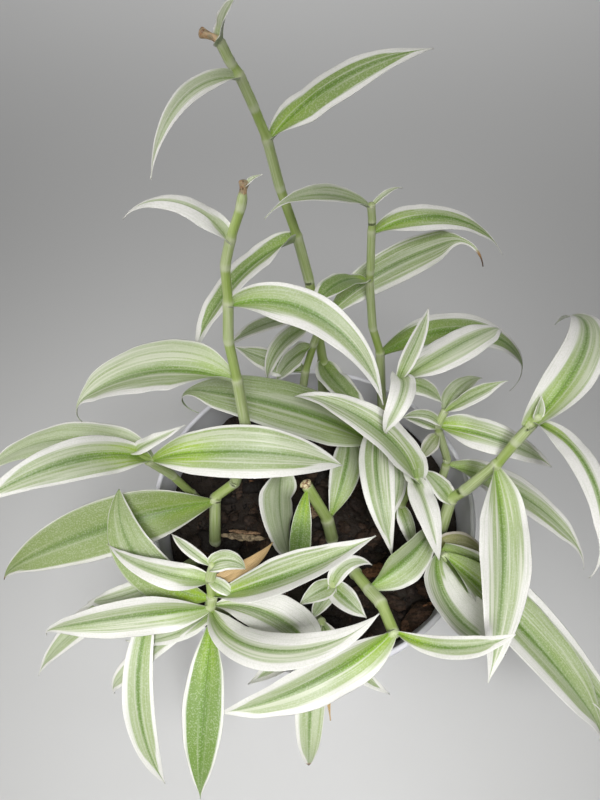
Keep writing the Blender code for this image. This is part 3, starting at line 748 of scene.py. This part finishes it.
def make_blade(base, leaf, seed):
    """A blade: its section carried along its midrib, with a thickness that dies away at the edges
    as a half circle does, and a rib that stands out below the middle."""
    skip = 1 if leaf.length >= LONG_LEAF else 2 if leaf.length >= SHORT_LEAF else 3
    t, points, side, up = (rows[::skip] for rows in midrib(base, leaf))
    share, across, height = blade_section(leaf, t, np.random.default_rng(seed))
    t = t[:, None]
    slim = np.sqrt(np.clip(1 - share**2, 0, 1))
    depth = BLADE_THICKNESS / 2 * (1 - TIP_THINS_BY * t) * slim
    rib = RIB_DEPTH * np.clip(leaf.width / USUAL_WIDTH, 0.4, 1.2) * np.exp(-((share / RIB_WIDTH) ** 2))
    below = height - depth - rib * (1 - t) ** 0.8
    ring_across = np.hstack([across, across[:, -2:0:-1]])
    ring_height = np.hstack([height + depth, below[:, -2:0:-1]])
    ring_share = np.concatenate([share, share[-2:0:-1]])
    under = np.concatenate([np.zeros(len(share)), np.ones(len(share) - 2)])
    rings = points[:, None] + side[:, None] * ring_across[..., None] + up[:, None] * ring_height[..., None]
    grid = rings.shape[:2]
    marks = {
        "place": per_point(grid, ring_share, t, seed % STREAK_PATTERNS),
        "white": np.array([*leaf.white, leaf.stripes]),
        "green": np.array([leaf.tone, leaf.core, leaf.base]),
        "state": per_point(grid, leaf.dry, under, leaf.scorch),
    }
    return closed_grid(rings, marks)


# Stems


def stem_lengths(stem):
    """The stem's path from its root up, and the length along it at each point."""
    x, y, _ = stem.path[0]
    path = np.vstack([[x * MM, y * MM, SOIL_LEVEL - ROOT_DEPTH], np.array(stem.path) * MM])
    steps = np.linalg.norm(np.diff(path, axis=0), axis=1)
    return path, np.concatenate([[0], np.cumsum(steps)])


def radius_keys(stem, lengths):
    """Length and radius at each turn of the stem's outline, and how much of sheath, node and edge
    is there: a swollen ring at each node, a sheath that widens up to its collar, and a sharp step
    in to the bare stretch."""
    keys = [(0.0, stem.foot_radius, 1, 0, 0)]
    for i, length in enumerate(lengths[1:]):
        share = (length - lengths[1]) / (lengths[-1] - lengths[1])
        radius = stem.foot_radius + (stem.tip_radius - stem.foot_radius) * share
        outline = COLLAR_OUTLINE if i % 2 else NODE_OUTLINE
        keys += [(length + past * MM, radius * swell, *marks) for past, swell, *marks in outline]
    keys = np.array(keys)
    keys[:, 1] *= MM
    return keys[keys[:, 0].argsort(kind="stable")]


def make_stem(stem, seed):
    """A stem: a circle carried along its path, whose corners are rounded by averaging the path
    over a short stretch, with the radius of its nodes, sheaths and collars and a domed end. A dead
    end is drawn in to a neck where the living part stops."""
    path, lengths = stem_lengths(stem)
    keys = radius_keys(stem, lengths)
    total = lengths[-1]
    along = np.concatenate([np.arange(0, total, RING_SPACING), keys[:, 0]])
    along = np.unique(np.round(along[(along >= 0) & (along < total)], 6))
    dome = np.linspace(0, math.pi / 2, 6)[1:-1]
    ends = total + np.sin(dome) * stem.tip_radius * MM * DOME_HEIGHT
    along = np.concatenate([along, [total], ends])
    radius, sheath, node, lip = (np.interp(along, keys[:, 0], keys[:, k])[:, None] for k in (1, 2, 3, 4))
    radius[-len(dome):, 0] *= np.cos(dome)
    dead = np.clip(1 - (total - along[:, None]) / max(stem.dead_end * MM, RING_SPACING), 0, 1)
    dead *= stem.dead_end > 0
    radius *= 1 - DEAD_NECK * dead * (1 - dead)
    inner = np.clip(along, 0, total)
    spread = np.linspace(-1, 1, 7)[:, None] * CORNER_ROUND
    reach = np.minimum(np.minimum(inner, total - inner), CORNER_ROUND) / CORNER_ROUND
    nearby = inner + spread * reach
    centre = np.stack([np.interp(nearby, lengths, row).mean(axis=0) for row in path.T], axis=1)
    centre += unit(path[-1] - path[-2]) * np.maximum(along - total, 0)[:, None]
    ahead = unit(np.gradient(centre, axis=0))
    reference = np.eye(3)[np.abs(ahead).max(axis=0).argmin()]
    side = unit(reference - ahead * (ahead @ reference)[:, None])
    turn = once_round(STEM_SIDES)
    wobble = 1 + WOBBLE * np.sin(3 * turn + seed) * np.sin(along / WOBBLE_LENGTH + seed)[:, None]
    grid = len(along), STEM_SIDES
    marks = {
        "around": per_point(grid, np.cos(turn), np.sin(turn), along[:, None] / MM),
        "joints": per_point(grid, sheath, node, lip),
        "age": per_point(grid, dead, 0, 0),
    }
    return tube(centre, side, np.cross(ahead, side), (radius * wobble)[..., None], STEM_SIDES, marks, 1)


# The pot and its soil


def inner_radius(z):
    """Radius of the pot's inside at height z: a straight taper from its floor to its lip."""
    share = (z - FLOOR) / (POT_HEIGHT - FLOOR)
    return FOOT_RADIUS - WALL + (RIM_RADIUS - LIP_WIDTH - FOOT_RADIUS + WALL) * share


def arc(x, z, radius, start, end, steps):
    """Points on a part of a circle about x and z, from angle start to angle end in degrees."""
    angle = np.radians(np.linspace(start, end, steps))
    return np.stack([x + radius * np.cos(angle), z + radius * np.sin(angle)], axis=1)


def pot_profile():
    """Radius and height of the pot's skin: foot, tapered wall, the step out to the band, a rounded
    lip, and down the inside to the floor."""
    middle = 0.2 * FOOT_RADIUS
    band = POT_HEIGHT - BAND_DEPTH
    wall_top = inner_radius(band) + WALL
    band_foot = wall_top + BAND_STEP
    lip = LIP_WIDTH / 2
    low = 4 * MM
    low_radius = inner_radius(low)
    stretches = [
        [[middle, FOOT_RECESS], [FOOT_RADIUS - 7 * MM, FOOT_RECESS], [FOOT_RADIUS - 5.6 * MM, 0]],
        arc(FOOT_RADIUS - FOOT_ROUND, FOOT_ROUND, FOOT_ROUND, -90, -8, 7),
        np.linspace([FOOT_RADIUS + 0.1 * MM, 3 * MM], [wall_top, band - BAND_ROUND], 24),
        arc(wall_top + BAND_ROUND, band - 0.4 * MM, BAND_ROUND, 180, 100, 5),
        arc(band_foot - BAND_ROUND, band + 0.6 * MM, BAND_ROUND, -80, 0, 5),
        np.linspace([band_foot + 0.05 * MM, band + 1.2 * MM], [RIM_RADIUS, POT_HEIGHT - 2 * MM], 8),
        arc(RIM_RADIUS - lip, POT_HEIGHT - lip, lip, 0, 180, 15),
        np.linspace([RIM_RADIUS - LIP_WIDTH, POT_HEIGHT - 1.6 * MM], [low_radius, low], 30),
        arc(low_radius - FLOOR_ROUND, FLOOR + FLOOR_ROUND, FLOOR_ROUND, -5, -90, 6),
        [[middle, FLOOR]],
    ]
    return np.vstack(stretches)


def make_pot(finish):
    """The pot: its profile turned round its axis, with the drain holes cut through its floor."""
    profile = pot_profile()
    inside = np.arange(len(profile)) > profile[:, 1].argmax()
    marks = {"wall": per_point((len(profile), POT_SIDES), inside[:, None], 0, 0)}
    pot = build("pot_shell", [turned(profile, POT_SIDES, marks)], [finish])
    cutters = []
    for i in range(DRAIN_HOLES):
        angle = 2 * math.pi * (i + 0.5) / DRAIN_HOLES
        middle = DRAIN_RING * np.array([math.cos(angle), math.sin(angle), 0])
        levels = middle + np.array([[-1], [4]]) * MM * UP
        cutters.append(closed_grid(level_circle(24) * DRAIN_RADIUS + levels[:, None], {}))
    cutter = build("drain_cutter", cutters, [finish])
    modifier = pot.modifiers.new("drains", "BOOLEAN")
    modifier.operation = "DIFFERENCE"
    modifier.solver = "EXACT"
    modifier.object = cutter
    graph = bpy.context.evaluated_depsgraph_get()
    mesh = bpy.data.meshes.new_from_object(pot.evaluated_get(graph))
    pot.modifiers.clear()
    pot.data = mesh
    bpy.data.objects.remove(cutter)
    return pot


def value_noise(x, y, cell, seed):
    """Random heights on a square lattice of that cell, blended smoothly between its points."""
    table = np.random.default_rng(seed).random((LATTICE, LATTICE))
    column, row = x / cell + LATTICE_SHIFT, y / cell + LATTICE_SHIFT
    i, j = np.floor(column).astype(int), np.floor(row).astype(int)
    u, v = column - i, row - j
    u, v = u * u * (3 - 2 * u), v * v * (3 - 2 * v)
    near, far, right, opposite = (
        table[(i + a) % LATTICE, (j + b) % LATTICE] for a, b in ((0, 0), (0, 1), (1, 0), (1, 1))
    )
    return (near * (1 - v) + far * v) * (1 - u) + (right * (1 - v) + opposite * v) * u


def soil_height(x, y):
    """Height of the soil: its level and the swing of each lattice of its relief, up or down."""
    height = SOIL_LEVEL
    for seed, (cell, swing) in enumerate(RELIEF, 1):
        height = height + swing * (value_noise(x, y, cell, seed) - 0.5)
    return height


def bark(kind):
    """The mark of a piece of bark or wood: black at 0, brown at 1, reddish at 1.6, pale at 2.3."""
    return {"chip": np.array([kind, 1, 0])}


def make_soil_body():
    """The soil: a cone inside the pot, whose top is a round grid lifted to the soil's height."""
    bottom = FLOOR + 0.3 * MM
    top = inner_radius(SOIL_LEVEL) - 0.4 * MM
    walls = [inner_radius(bottom) - 0.45 * MM, top]
    radii = np.concatenate([walls, np.linspace(top - 0.5 * MM, 0.8 * MM, SOIL_RINGS)])
    rings = radii[:, None, None] * level_circle(SOIL_SIDES)
    rings[..., 2] = soil_height(rings[..., 0], rings[..., 1])
    rings[0, :, 2] = bottom
    rings[1, :, 2] = SOIL_LEVEL - 0.5 * MM
    return closed_grid(rings, {"chip": np.array([0.2, 0, 0])})


def stones(count, size, flatness, seed, lift, rows=5, columns=8):
    """Lumps strewn over the soil: each is a ball of few faces, squared off, pushed in and out at
    random, stretched to its own three sizes and turned at random."""
    luck = np.random.default_rng(seed)
    block = ball(rows, columns, STONE_POLE_GAP)
    block = np.sign(block) * np.abs(block) ** SQUARENESS
    bumps = 1 + luck.uniform(-0.22, 0.22, (count, rows, columns, 1))
    long = luck.uniform(*size, count)
    wide = long * luck.uniform(0.45, 0.8, count)
    high = long * luck.uniform(*flatness, count)
    local = block * bumps * np.stack([long, wide, high], axis=1)[:, None, None] * MM / 2
    spin = luck.uniform(0, 2 * math.pi, count)
    tilt, lean = luck.normal(0, 0.35, count), luck.normal(0, 0.35, count)
    x_axis = unit(np.stack([np.cos(spin), np.sin(spin), np.sin(tilt)], axis=1))
    y_axis = np.stack([-np.sin(spin), np.cos(spin), np.sin(lean)], axis=1)
    z_axis = unit(np.cross(x_axis, y_axis))
    axes = np.stack([x_axis, np.cross(z_axis, x_axis), z_axis], axis=1)
    limit = inner_radius(SOIL_LEVEL) - 2 * MM - long * MM * 0.5
    radius = np.sqrt(luck.uniform(0, 1, count)) * limit
    angle = luck.uniform(0, 2 * math.pi, count)
    x, y = radius * np.cos(angle), radius * np.sin(angle)
    place = np.stack([x, y, soil_height(x, y) + lift * high * MM], axis=1)
    placed = np.einsum("nrck,nkm->nrcm", local, axes) + place[:, None, None]
    return [closed_grid(rings, bark(kind)) for rings, kind in zip(placed, luck.random(count))]


def clump(x, y, long, light, seed):
    """A crumbly clump: a ball of few faces pushed in and out at random and set on the soil."""
    luck = np.random.default_rng(seed)
    lump = ball(9, 14, CLUMP_POLE_GAP) * luck.uniform(0.72, 1.2, (9, 14, 1))
    lump = lump * np.array([1, luck.uniform(0.5, 0.8), 0.45])
    spin = luck.uniform(0, math.pi)
    cos, sin = math.cos(spin), math.sin(spin)
    turned_lump = lump @ np.array([[cos, sin, 0], [-sin, cos, 0], [0, 0, 1]])
    x, y = x * MM, y * MM
    place = np.array([x, y, soil_height(x, y) + 0.12 * long * MM])
    return closed_grid(place + turned_lump * long * MM / 2, bark(light))


def splinter(start, end, thick, light):
    """A sliver of wood on the soil: a flat ellipse carried from start to end, thin at both."""
    t = np.linspace(0, 1, 24)
    x, y = (np.array(start) + (np.array(end) - start) * t[:, None]).T * MM
    z = soil_height(x, y).max() + (2.2 + 0.3 * np.sin(9 * t)) * MM
    centre = np.stack([x, y, z], axis=1)
    side, other = ways_across(centre)
    radius = thick * MM * (0.25 + np.sin(math.pi * t) ** 0.6) * (1 + 0.2 * np.sin(31 * t))
    return tube(centre, side, 0.5 * other, radius[:, None, None], 8, bark(light))


def fibres(seed):
    """Thin threads of root and bark: a small circle carried along a random arch on the soil."""
    luck = np.random.default_rng(seed)
    t = np.linspace(0, 1, 12)
    threads = []
    for _ in range(FIBRES):
        radius = math.sqrt(luck.uniform(0, 1)) * 46 * MM
        angle, heading = luck.uniform(0, 2 * math.pi, 2)
        bend = heading + luck.uniform(-1.6, 1.6) * t
        step = luck.uniform(5, 14) * MM / 11
        x = radius * math.cos(angle) + np.cumsum(np.cos(bend)) * step
        y = radius * math.sin(angle) + np.cumsum(np.sin(bend)) * step
        inside = np.minimum(1, 54 * MM / np.maximum(np.hypot(x, y), 1e-6))
        x, y = x * inside, y * inside
        z = soil_height(x, y) + (0.1 + luck.uniform(0.2, 1.6) * np.sin(math.pi * t)) * MM
        centre = np.stack([x, y, z], axis=1)
        thick = luck.uniform(0.1, 0.28) * MM
        threads.append(tube(centre, *ways_across(centre), thick, 5, bark(luck.uniform(0.7, 1))))
    return threads


# Finishes


class Net:
    """One shader tree. Its calls add a node, fill its sockets with numbers or with other nodes'
    outputs, and give back its output."""

    def __init__(self, tree):
        self.tree = tree

    def node(self, kind, inputs=(), **settings):
        made = self.tree.nodes.new(kind)
        for key, value in settings.items():
            setattr(made, key, value)
        for key, value in dict(inputs).items():
            self.fill(made.inputs[key], value)
        return made

    def fill(self, socket, value):
        if isinstance(value, bpy.types.NodeSocket):
            self.tree.links.new(value, socket)
        else:
            socket.default_value = value

    def group(self, tree, **inputs):
        return self.node("ShaderNodeGroup", inputs, node_tree=tree).outputs[0]

    def math(self, operation, *values, clamp=False):
        inputs = dict(enumerate(values))
        return self.node("ShaderNodeMath", inputs, operation=operation, use_clamp=clamp).outputs[0]

    def add(self, first, *others):
        for value in others:
            first = self.math("ADD", first, value)
        return first

    def times(self, first, *others):
        for value in others:
            first = self.math("MULTIPLY", first, value)
        return first

    def less(self, a, b):
        return self.math("SUBTRACT", a, b)

    def swing(self, noise, amount):
        """How far a noise is from its middle value, times amount."""
        return self.times(self.less(noise, 0.5), amount)

    def ramp(self, value, low, high, start=0.0, end=1.0):
        """Goes smoothly from start to end as value goes from low to high."""
        inputs = {"Value": value, "From Min": low, "From Max": high, "To Min": start, "To Max": end}
        made = self.node("ShaderNodeMapRange", inputs, interpolation_type="SMOOTHSTEP")
        return made.outputs[0]

    def hill(self, value, width):
        """One where value is zero, and falling off as a bell does on both sides."""
        ratio = self.math("DIVIDE", value, width)
        return self.math("EXPONENT", self.times(ratio, ratio, -1.0))

    def mix(self, factor, a, b):
        """From colour a to colour b as the factor goes from zero to one."""
        made = self.node("ShaderNodeMix", data_type="RGBA", clamp_factor=True)
        self.fill(made.inputs[0], factor)
        for socket, colour in ((made.inputs[6], a), (made.inputs[7], b)):
            self.fill(socket, (*colour, 1) if isinstance(colour, tuple) else colour)
        return made.outputs[2]

    def vector(self, x, y, z):
        return self.node("ShaderNodeCombineXYZ", {0: x, 1: y, 2: z}).outputs[0]

    def parts(self, vector):
        return self.node("ShaderNodeSeparateXYZ", {0: vector}).outputs

    def mark(self, name):
        """The three numbers that each point of the surface carries under that name."""
        return self.parts(self.node("ShaderNodeAttribute", attribute_name=name).outputs["Vector"])

    def place(self):
        return self.node("ShaderNodeTexCoord").outputs["Object"]

    def noise(self, place, scale, detail, roughness=0.5):
        inputs = {"Vector": place, "Scale": scale, "Detail": detail, "Roughness": roughness}
        return self.node("ShaderNodeTexNoise", inputs).outputs["Fac"]

    def bump(self, height, strength, distance):
        inputs = {"Height": height, "Strength": strength, "Distance": distance}
        return self.node("ShaderNodeBump", inputs).outputs[0]


def new_group(name, inputs, output):
    """An empty node group with those numbers and that one output, as its net, its input sockets
    and its output node. An input whose value is None is a vector."""
    tree = bpy.data.node_groups.new(name, "ShaderNodeTree")
    for socket, value in inputs.items():
        kind = "NodeSocketVector" if value is None else "NodeSocketFloat"
        made = tree.interface.new_socket(name=socket, in_out="INPUT", socket_type=kind)
        if value is not None:
            made.default_value = value
    tree.interface.new_socket(name=output, in_out="OUTPUT", socket_type="NodeSocketFloat")
    net = Net(tree)
    return net, net.node("NodeGroupInput").outputs, net.node("NodeGroupOutput")


def streak_group():
    """Long soft streaks: a noise drawn out along the surface and fine across it."""
    inputs = {"Across": 0.0, "Along": 0.0, "Seed": 0.0, "Count": 8.0, "Length": 1.0}
    net, given, result = new_group("streaks", inputs, "Streak")
    x = net.times(given["Across"], given["Count"])
    y = net.times(given["Along"], given["Length"])
    place = net.vector(x, y, net.times(given["Seed"], 3.7))
    net.fill(result.inputs["Streak"], net.noise(place, 1.0, 1.5, 0.55))
    return net.tree


def speck_group():
    """Small scattered specks: the spots where a noise passes a high level."""
    net, given, result = new_group("specks", {"Place": None, "Scale": 300.0, "Amount": 0.3}, "Speck")
    fine = net.noise(given["Place"], given["Scale"], 3.0, 0.6)
    wide = net.noise(given["Place"], 35.0, 1.0)
    level = net.less(0.86, net.times(given["Amount"], 0.5))
    both = net.add(net.times(fine, 0.8), net.times(wide, 0.3))
    net.fill(result.inputs["Speck"], net.ramp(both, level, net.add(level, 0.05)))
    return net.tree


def new_finish(name, roughness, gloss):
    """A new material, its net and its Principled shader. Its roughness is a value to start from,
    and its gloss is the same all over the surface."""
    material = bpy.data.materials.new(name)
    material.use_nodes = True
    shader = material.node_tree.nodes["Principled BSDF"]
    shader.inputs["Roughness"].default_value = roughness
    shader.inputs["Specular IOR Level"].default_value = gloss
    return material, Net(material.node_tree), shader


def dress(net, shader, colour, roughness, normal):
    """Gives a shader the colour, roughness and relief that change over its surface."""
    net.fill(shader.inputs["Base Color"], colour)
    net.fill(shader.inputs["Roughness"], roughness)
    net.fill(shader.inputs["Normal"], normal)


def leaf_finish(streak, speck):
    """A variegated blade: white margins of ragged width, pale green bands cut by whitish streaks, a
    deep green stripe along the midrib that is brightest near the stem, and a frosting of fine
    pale cells over fine parallel veins."""
    material, net, shader = new_finish("variegated_leaf", 0.4, 0.45)
    across, along, seed = net.mark("place")
    white_left, white_right, stripes = net.mark("white")
    tone, core, base = net.mark("green")
    dry, under, scorch = net.mark("state")
    out = net.math("ABSOLUTE", across)
    bands, lines, hairs = (
        net.group(streak, Across=across, Along=along, Seed=net.add(seed, shift), Count=count, Length=length)
        for shift, count, length in (BANDS, LINES, HAIRS)
    )
    cells = net.noise(net.place(), CELL_NOISE, 2.0)

    # Each half's white reaches in from its edge, further towards the tip, and ends raggedly
    right = net.ramp(across, -0.02, 0.02)
    share = net.add(net.times(white_left, net.less(1.0, right)), net.times(white_right, right))
    tip_share = net.times(net.math("MULTIPLY", share, 3.0, clamp=True), 0.8)
    grown = net.times(share, net.ramp(along, -0.05, 0.34, 0.25, 1.0))
    grown = net.add(grown, net.times(net.ramp(along, 0.72, 1.02), tip_share))
    edge = net.less(out, net.less(1.0, grown))
    edge = net.add(edge, net.swing(bands, 0.3), net.swing(lines, 0.34), net.swing(hairs, 0.16))
    margin = net.ramp(edge, -0.07, 0.08)

    # The green is banded, brighter near the stem and deepest in the stripe along the midrib
    green = net.mix(net.add(tone, net.swing(bands, -1.5), net.swing(hairs, 1.6)), PALE_GREEN, LEAF_GREEN)
    green = net.mix(net.ramp(tone, 1.0, 2.0, 0.0, 0.7), green, CORE_GREEN)
    near = net.ramp(along, 0.0, 0.5, 1.0, 0.0)
    green = net.mix(net.times(near, base, net.ramp(out, 0.12, 0.75, 0.95, 0.22)), green, BASE_GREEN)
    stripe = net.times(net.hill(across, net.ramp(along, 0.0, 1.0, 0.25, 0.10)), core)
    stripe = net.times(stripe, net.ramp(along, 0.3, 1.0, 1.15, 0.5), net.ramp(hairs, 0.3, 0.7, 1.0, 0.72))
    green = net.mix(stripe, green, net.mix(net.times(near, base), CORE_GREEN, BASE_CORE))

    # Whitish streaks cut it up, one pair of them beside the midrib, and pale cells frost it
    pale = net.times(net.ramp(lines, 0.49, 0.60), stripes, net.less(1.35, tone))
    pale = net.times(pale, net.ramp(along, 0.0, 0.35, 0.25, 1.0), net.ramp(out, 0.05, 0.3, 0.35, 1.0))
    green = net.mix(pale, green, CREAM)
    flank = net.times(net.hill(net.less(out, 0.21), 0.05), stripes, net.ramp(lines, 0.35, 0.6), 0.8)
    green = net.mix(flank, green, CREAM)
    green = net.mix(net.ramp(cells, 0.46, 0.68, 0.0, 0.3), green, CREAM)

    # The white has veins of its own, and painted shade darkens both in the groove along the midrib
    veins = net.add(net.swing(lines, 1.6), net.swing(hairs, 2.4))
    white = net.mix(net.ramp(veins, 0.0, 0.75, 0.0, 0.75), WHITE, SHADED_WHITE)
    white = net.mix(net.ramp(cells, 0.42, 0.66, 0.0, 0.3), white, SHADED_WHITE)
    colour = net.mix(margin, green, white)
    groove_shade = net.times(net.hill(across, 0.035), net.ramp(along, 0.4, 1.0, 0.6, 0.15))
    colour = net.mix(groove_shade, colour, PAINTED_GROOVE_SHADE)
    colour = net.mix(under, colour, net.mix(0.5, colour, UNDER_GREEN))

    # What has withered is brown to straw, and a scorched tip dark
    withered = net.mix(net.times(dry, dry), DRY_DARK, DRY_BROWN)
    withered = net.mix(net.times(net.ramp(hairs, 0.25, 0.55), dry, dry), withered, STRAW)
    colour = net.mix(dry, colour, withered)
    burnt = net.mix(net.ramp(net.add(along, net.times(scorch, 0.5)), 0.98, 1.02), DRY_BROWN, DRY_DARK)
    colour = net.mix(net.ramp(net.add(along, scorch), 1.0, 1.03), colour, burnt)
    marks = net.times(net.group(speck, Place=net.place(), Scale=LEAF_SPECKS, Amount=0.1), 0.5)
    colour = net.mix(marks, colour, DRY_BROWN)
    relief = net.add(net.times(hairs, 0.5), net.times(lines, 0.5), net.times(cells, 0.35))
    roughness = net.ramp(cells, 0.3, 0.7, 0.33, 0.5)
    dress(net, shader, colour, roughness, net.bump(relief, 0.5, 0.25 * MM))
    return material


def stem_finish():
    """A juicy stem: fresh green where it is bare, paler where a sheath wraps it, with a whitish
    ring at each node and a pale edge on each collar. Near the soil it is painted darker, as
    painted shade. A dead end is brown, a low cut creamy."""
    material, net, shader = new_finish("juicy_stem", 0.38, 0.45)
    across, other, length = net.mark("around")
    sheath, node, lip = net.mark("joints")
    dead, _, _ = net.mark("age")
    place = net.place()
    _, _, z = net.parts(place)
    drawn_out = net.vector(net.times(across, 3.0), net.times(length, 0.03), net.times(other, 3.0))
    lines = net.noise(drawn_out, 2.2, 2.0, 0.6)
    blotch = net.noise(net.vector(across, net.times(length, 0.09), other), 0.9, 2.0)

    bare = net.mix(net.ramp(blotch, 0.3, 0.7), *BARE_GREENS)
    bare = net.mix(net.ramp(lines, 0.45, 0.7, 0.0, 0.35), bare, BARE_STREAK)
    wrapped = net.mix(net.ramp(lines, 0.35, 0.65), *SHEATH_GREENS)
    colour = net.mix(net.times(sheath, net.ramp(blotch, 0.25, 0.6, 0.6, 1.0)), bare, wrapped)
    # Painted shade: the stem darkens towards the soil, for the shade that falls there
    foot = net.ramp(net.add(z, net.times(blotch, 8 * MM)), 92 * MM, 108 * MM, 0.8, 0.0)
    colour = net.mix(foot, colour, PAINTED_FOOT_SHADE)
    colour = net.mix(net.times(node, 0.75), colour, NODE_PALE)
    colour = net.mix(net.times(lip, 0.6), colour, COLLAR_PALE)

    crust = net.mix(net.ramp(net.noise(place, CRUST_NOISE, 3.0, 0.7), 0.4, 0.62), DRY_DARK, CRUST_BROWN)
    fresh = net.ramp(z, 130 * MM, 160 * MM, 0.95, 0.3)
    pith = net.times(fresh, net.ramp(net.noise(place, PITH_NOISE, 2.0, 0.6), 0.40, 0.50))
    crust = net.mix(pith, crust, PITH)
    colour = net.mix(net.ramp(net.add(dead, net.times(lines, 0.4)), 0.35, 0.5), colour, crust)
    roughness = net.ramp(lines, 0.3, 0.7, 0.32, 0.46)
    dress(net, shader, colour, roughness, net.bump(lines, 0.35, 0.2 * MM))
    return material


def pot_finish(speck):
    """Thin moulded plastic: nearly white with a hint of violet, faintly mottled, with soil dust
    and specks inside, thickest just above the soil. The inside wall is painted lighter, as painted
    light for the lamp light that falls on it."""
    material, net, shader = new_finish("white_plastic", 0.32, 0.5)
    inside, _, _ = net.mark("wall")
    place = net.place()
    _, _, z = net.parts(place)
    cloud = net.noise(place, PLASTIC_CLOUD, 3.0, 0.6)
    # Painted light: the inside wall takes the lighter colour, for the lamp light that falls on it
    colour = net.mix(net.times(inside, 0.8), net.mix(cloud, *PLASTICS), PAINTED_LIGHT_INSIDE)
    low = net.ramp(z, 88 * MM, 96 * MM, 1.0, 0.12)
    smear = net.times(net.ramp(net.noise(place, DUST_NOISE, 4.0, 0.65), 0.52, 0.75), low, inside, 0.6)
    colour = net.mix(smear, colour, SOIL_DUST)
    dots = net.times(net.group(speck, Place=place, Scale=POT_SPECKS, Amount=0.6), inside)
    colour = net.mix(dots, colour, SOIL_SPECK)
    roughness = net.ramp(cloud, 0.3, 0.7, 0.28, 0.42)
    dress(net, shader, colour, roughness, net.bump(net.noise(place, PLASTIC_GRAIN, 2.0), 0.12, 0.1 * MM))
    return material


def soil_finish():
    """Damp peat and bark: near black peat, and chips from dark to reddish brown with a grain."""
    material, net, shader = new_finish("bark_soil", 0.8, 0.35)
    kind, chip, _ = net.mark("chip")
    place = net.place()
    x, y, z = net.parts(place)
    fine = net.noise(place, PEAT_NOISE, 4.0, 0.7)
    grain = net.noise(net.vector(x, net.times(y, 6.0), z), BARK_GRAIN, 3.0)
    relief = net.add(grain, fine)
    wood = net.mix(net.ramp(kind, 0.25, 1.0), *BARKS)
    wood = net.mix(net.ramp(kind, 1.0, 1.6), wood, RED_BARK)
    wood = net.mix(net.ramp(kind, 1.6, 2.3), wood, PALE_WOOD)
    wood = net.mix(net.ramp(relief, 0.8, 1.2, 0.0, 0.8), wood, BARK_GROOVE)
    colour = net.mix(chip, net.mix(fine, *PEATS), wood)
    roughness = net.ramp(fine, 0.3, 0.7, 0.55, 0.95)
    dress(net, shader, colour, roughness, net.bump(relief, 0.8, 0.5 * MM))
    return material


def floor_finish():
    """Pale matt paper with a barely seen cloudiness."""
    material, net, shader = new_finish("pale_floor", 0.9, 0.5)
    colour = net.mix(net.noise(net.place(), PAPER_CLOUD, 2.0), *PAPERS)
    net.fill(shader.inputs["Base Color"], colour)
    return material


# The scene


def make_camera():
    data = bpy.data.cameras.new("camera")
    data.lens = LENS
    data.sensor_width = SENSOR_WIDTH
    data.clip_start = 5 * MM
    camera = bpy.data.objects.new("camera", data)
    camera.location = CAMERA_PLACE
    camera.rotation_euler = (math.radians(CAMERA_TILT), 0, 0)
    bpy.context.scene.collection.objects.link(camera)
    bpy.context.scene.camera = camera


def make_light(name, place, target, size, power, spread, colour=(1, 1, 1)):
    """A square soft light that faces its target and spreads over that angle in degrees."""
    data = bpy.data.lights.new(name, "AREA")
    data.spread = math.radians(spread)
    data.size = size
    data.energy = power
    data.color = colour
    light = bpy.data.objects.new(name, data)
    light.location = place
    light.rotation_euler = (Vector(target) - Vector(place)).to_track_quat("-Z", "Y").to_euler()
    bpy.context.scene.collection.objects.link(light)


def make_room():
    """A pale floor, a pale world, three soft lights on the plant and one on the floor behind it."""
    outline = np.array([[0.002, -0.02], [3, -0.02], [3, 0], [0.002, 0]])
    floor = build("floor", [turned(outline, 64, {})], [floor_finish()])
    world = bpy.data.worlds.new("room")
    world.use_nodes = True
    background = world.node_tree.nodes["Background"]
    background.inputs["Color"].default_value = ROOM_COLOUR
    background.inputs["Strength"].default_value = ROOM_STRENGTH
    bpy.context.scene.world = world
    for light in LIGHTS:
        make_light(*light)
    bpy.context.scene.view_settings.view_transform = "Standard"


def carry(piece, node):
    """The piece rides on the one body and stands for that node, whose own part is hidden."""
    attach(piece, "root")
    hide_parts(node)


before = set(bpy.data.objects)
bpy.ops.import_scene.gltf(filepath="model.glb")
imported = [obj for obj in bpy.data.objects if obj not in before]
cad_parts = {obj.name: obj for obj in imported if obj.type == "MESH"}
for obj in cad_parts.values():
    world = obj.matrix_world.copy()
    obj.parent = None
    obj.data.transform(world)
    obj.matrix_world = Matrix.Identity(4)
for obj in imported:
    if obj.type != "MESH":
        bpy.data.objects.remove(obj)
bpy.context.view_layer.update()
streak_net, speck_net = streak_group(), speck_group()
skins = [leaf_finish(streak_net, speck_net), stem_finish()]
for number, (stem_name, stem) in enumerate(STEMS.items()):
    leaves = stem.leaves + WITHERED.get(stem_name, ())
    foliage = [
        make_blade(joint_point(stem, leaf.joint), leaf, 40 * number + k) for k, leaf in enumerate(leaves)
    ]
    carry(build(stem_name + "_foliage", foliage + [make_stem(stem, number)], skins), stem_name)
carry(make_pot(pot_finish(speck_net)), "pot")
strewn = stones(CHIPS, size=(4, 11), flatness=(0.2, 0.42), seed=11, lift=0.1)
strewn += stones(CRUMBS, size=(0.7, 2.4), flatness=(0.5, 0.9), seed=12, lift=0.2, rows=4, columns=6)
strewn += [clump(*values, 60 + k) for k, values in enumerate(CLUMPS)]
strewn += [splinter(*values) for values in SPLINTERS]
carry(build("soil_bed", [make_soil_body()] + strewn + fibres(13), [soil_finish()]), "soil")
make_room()
make_camera()
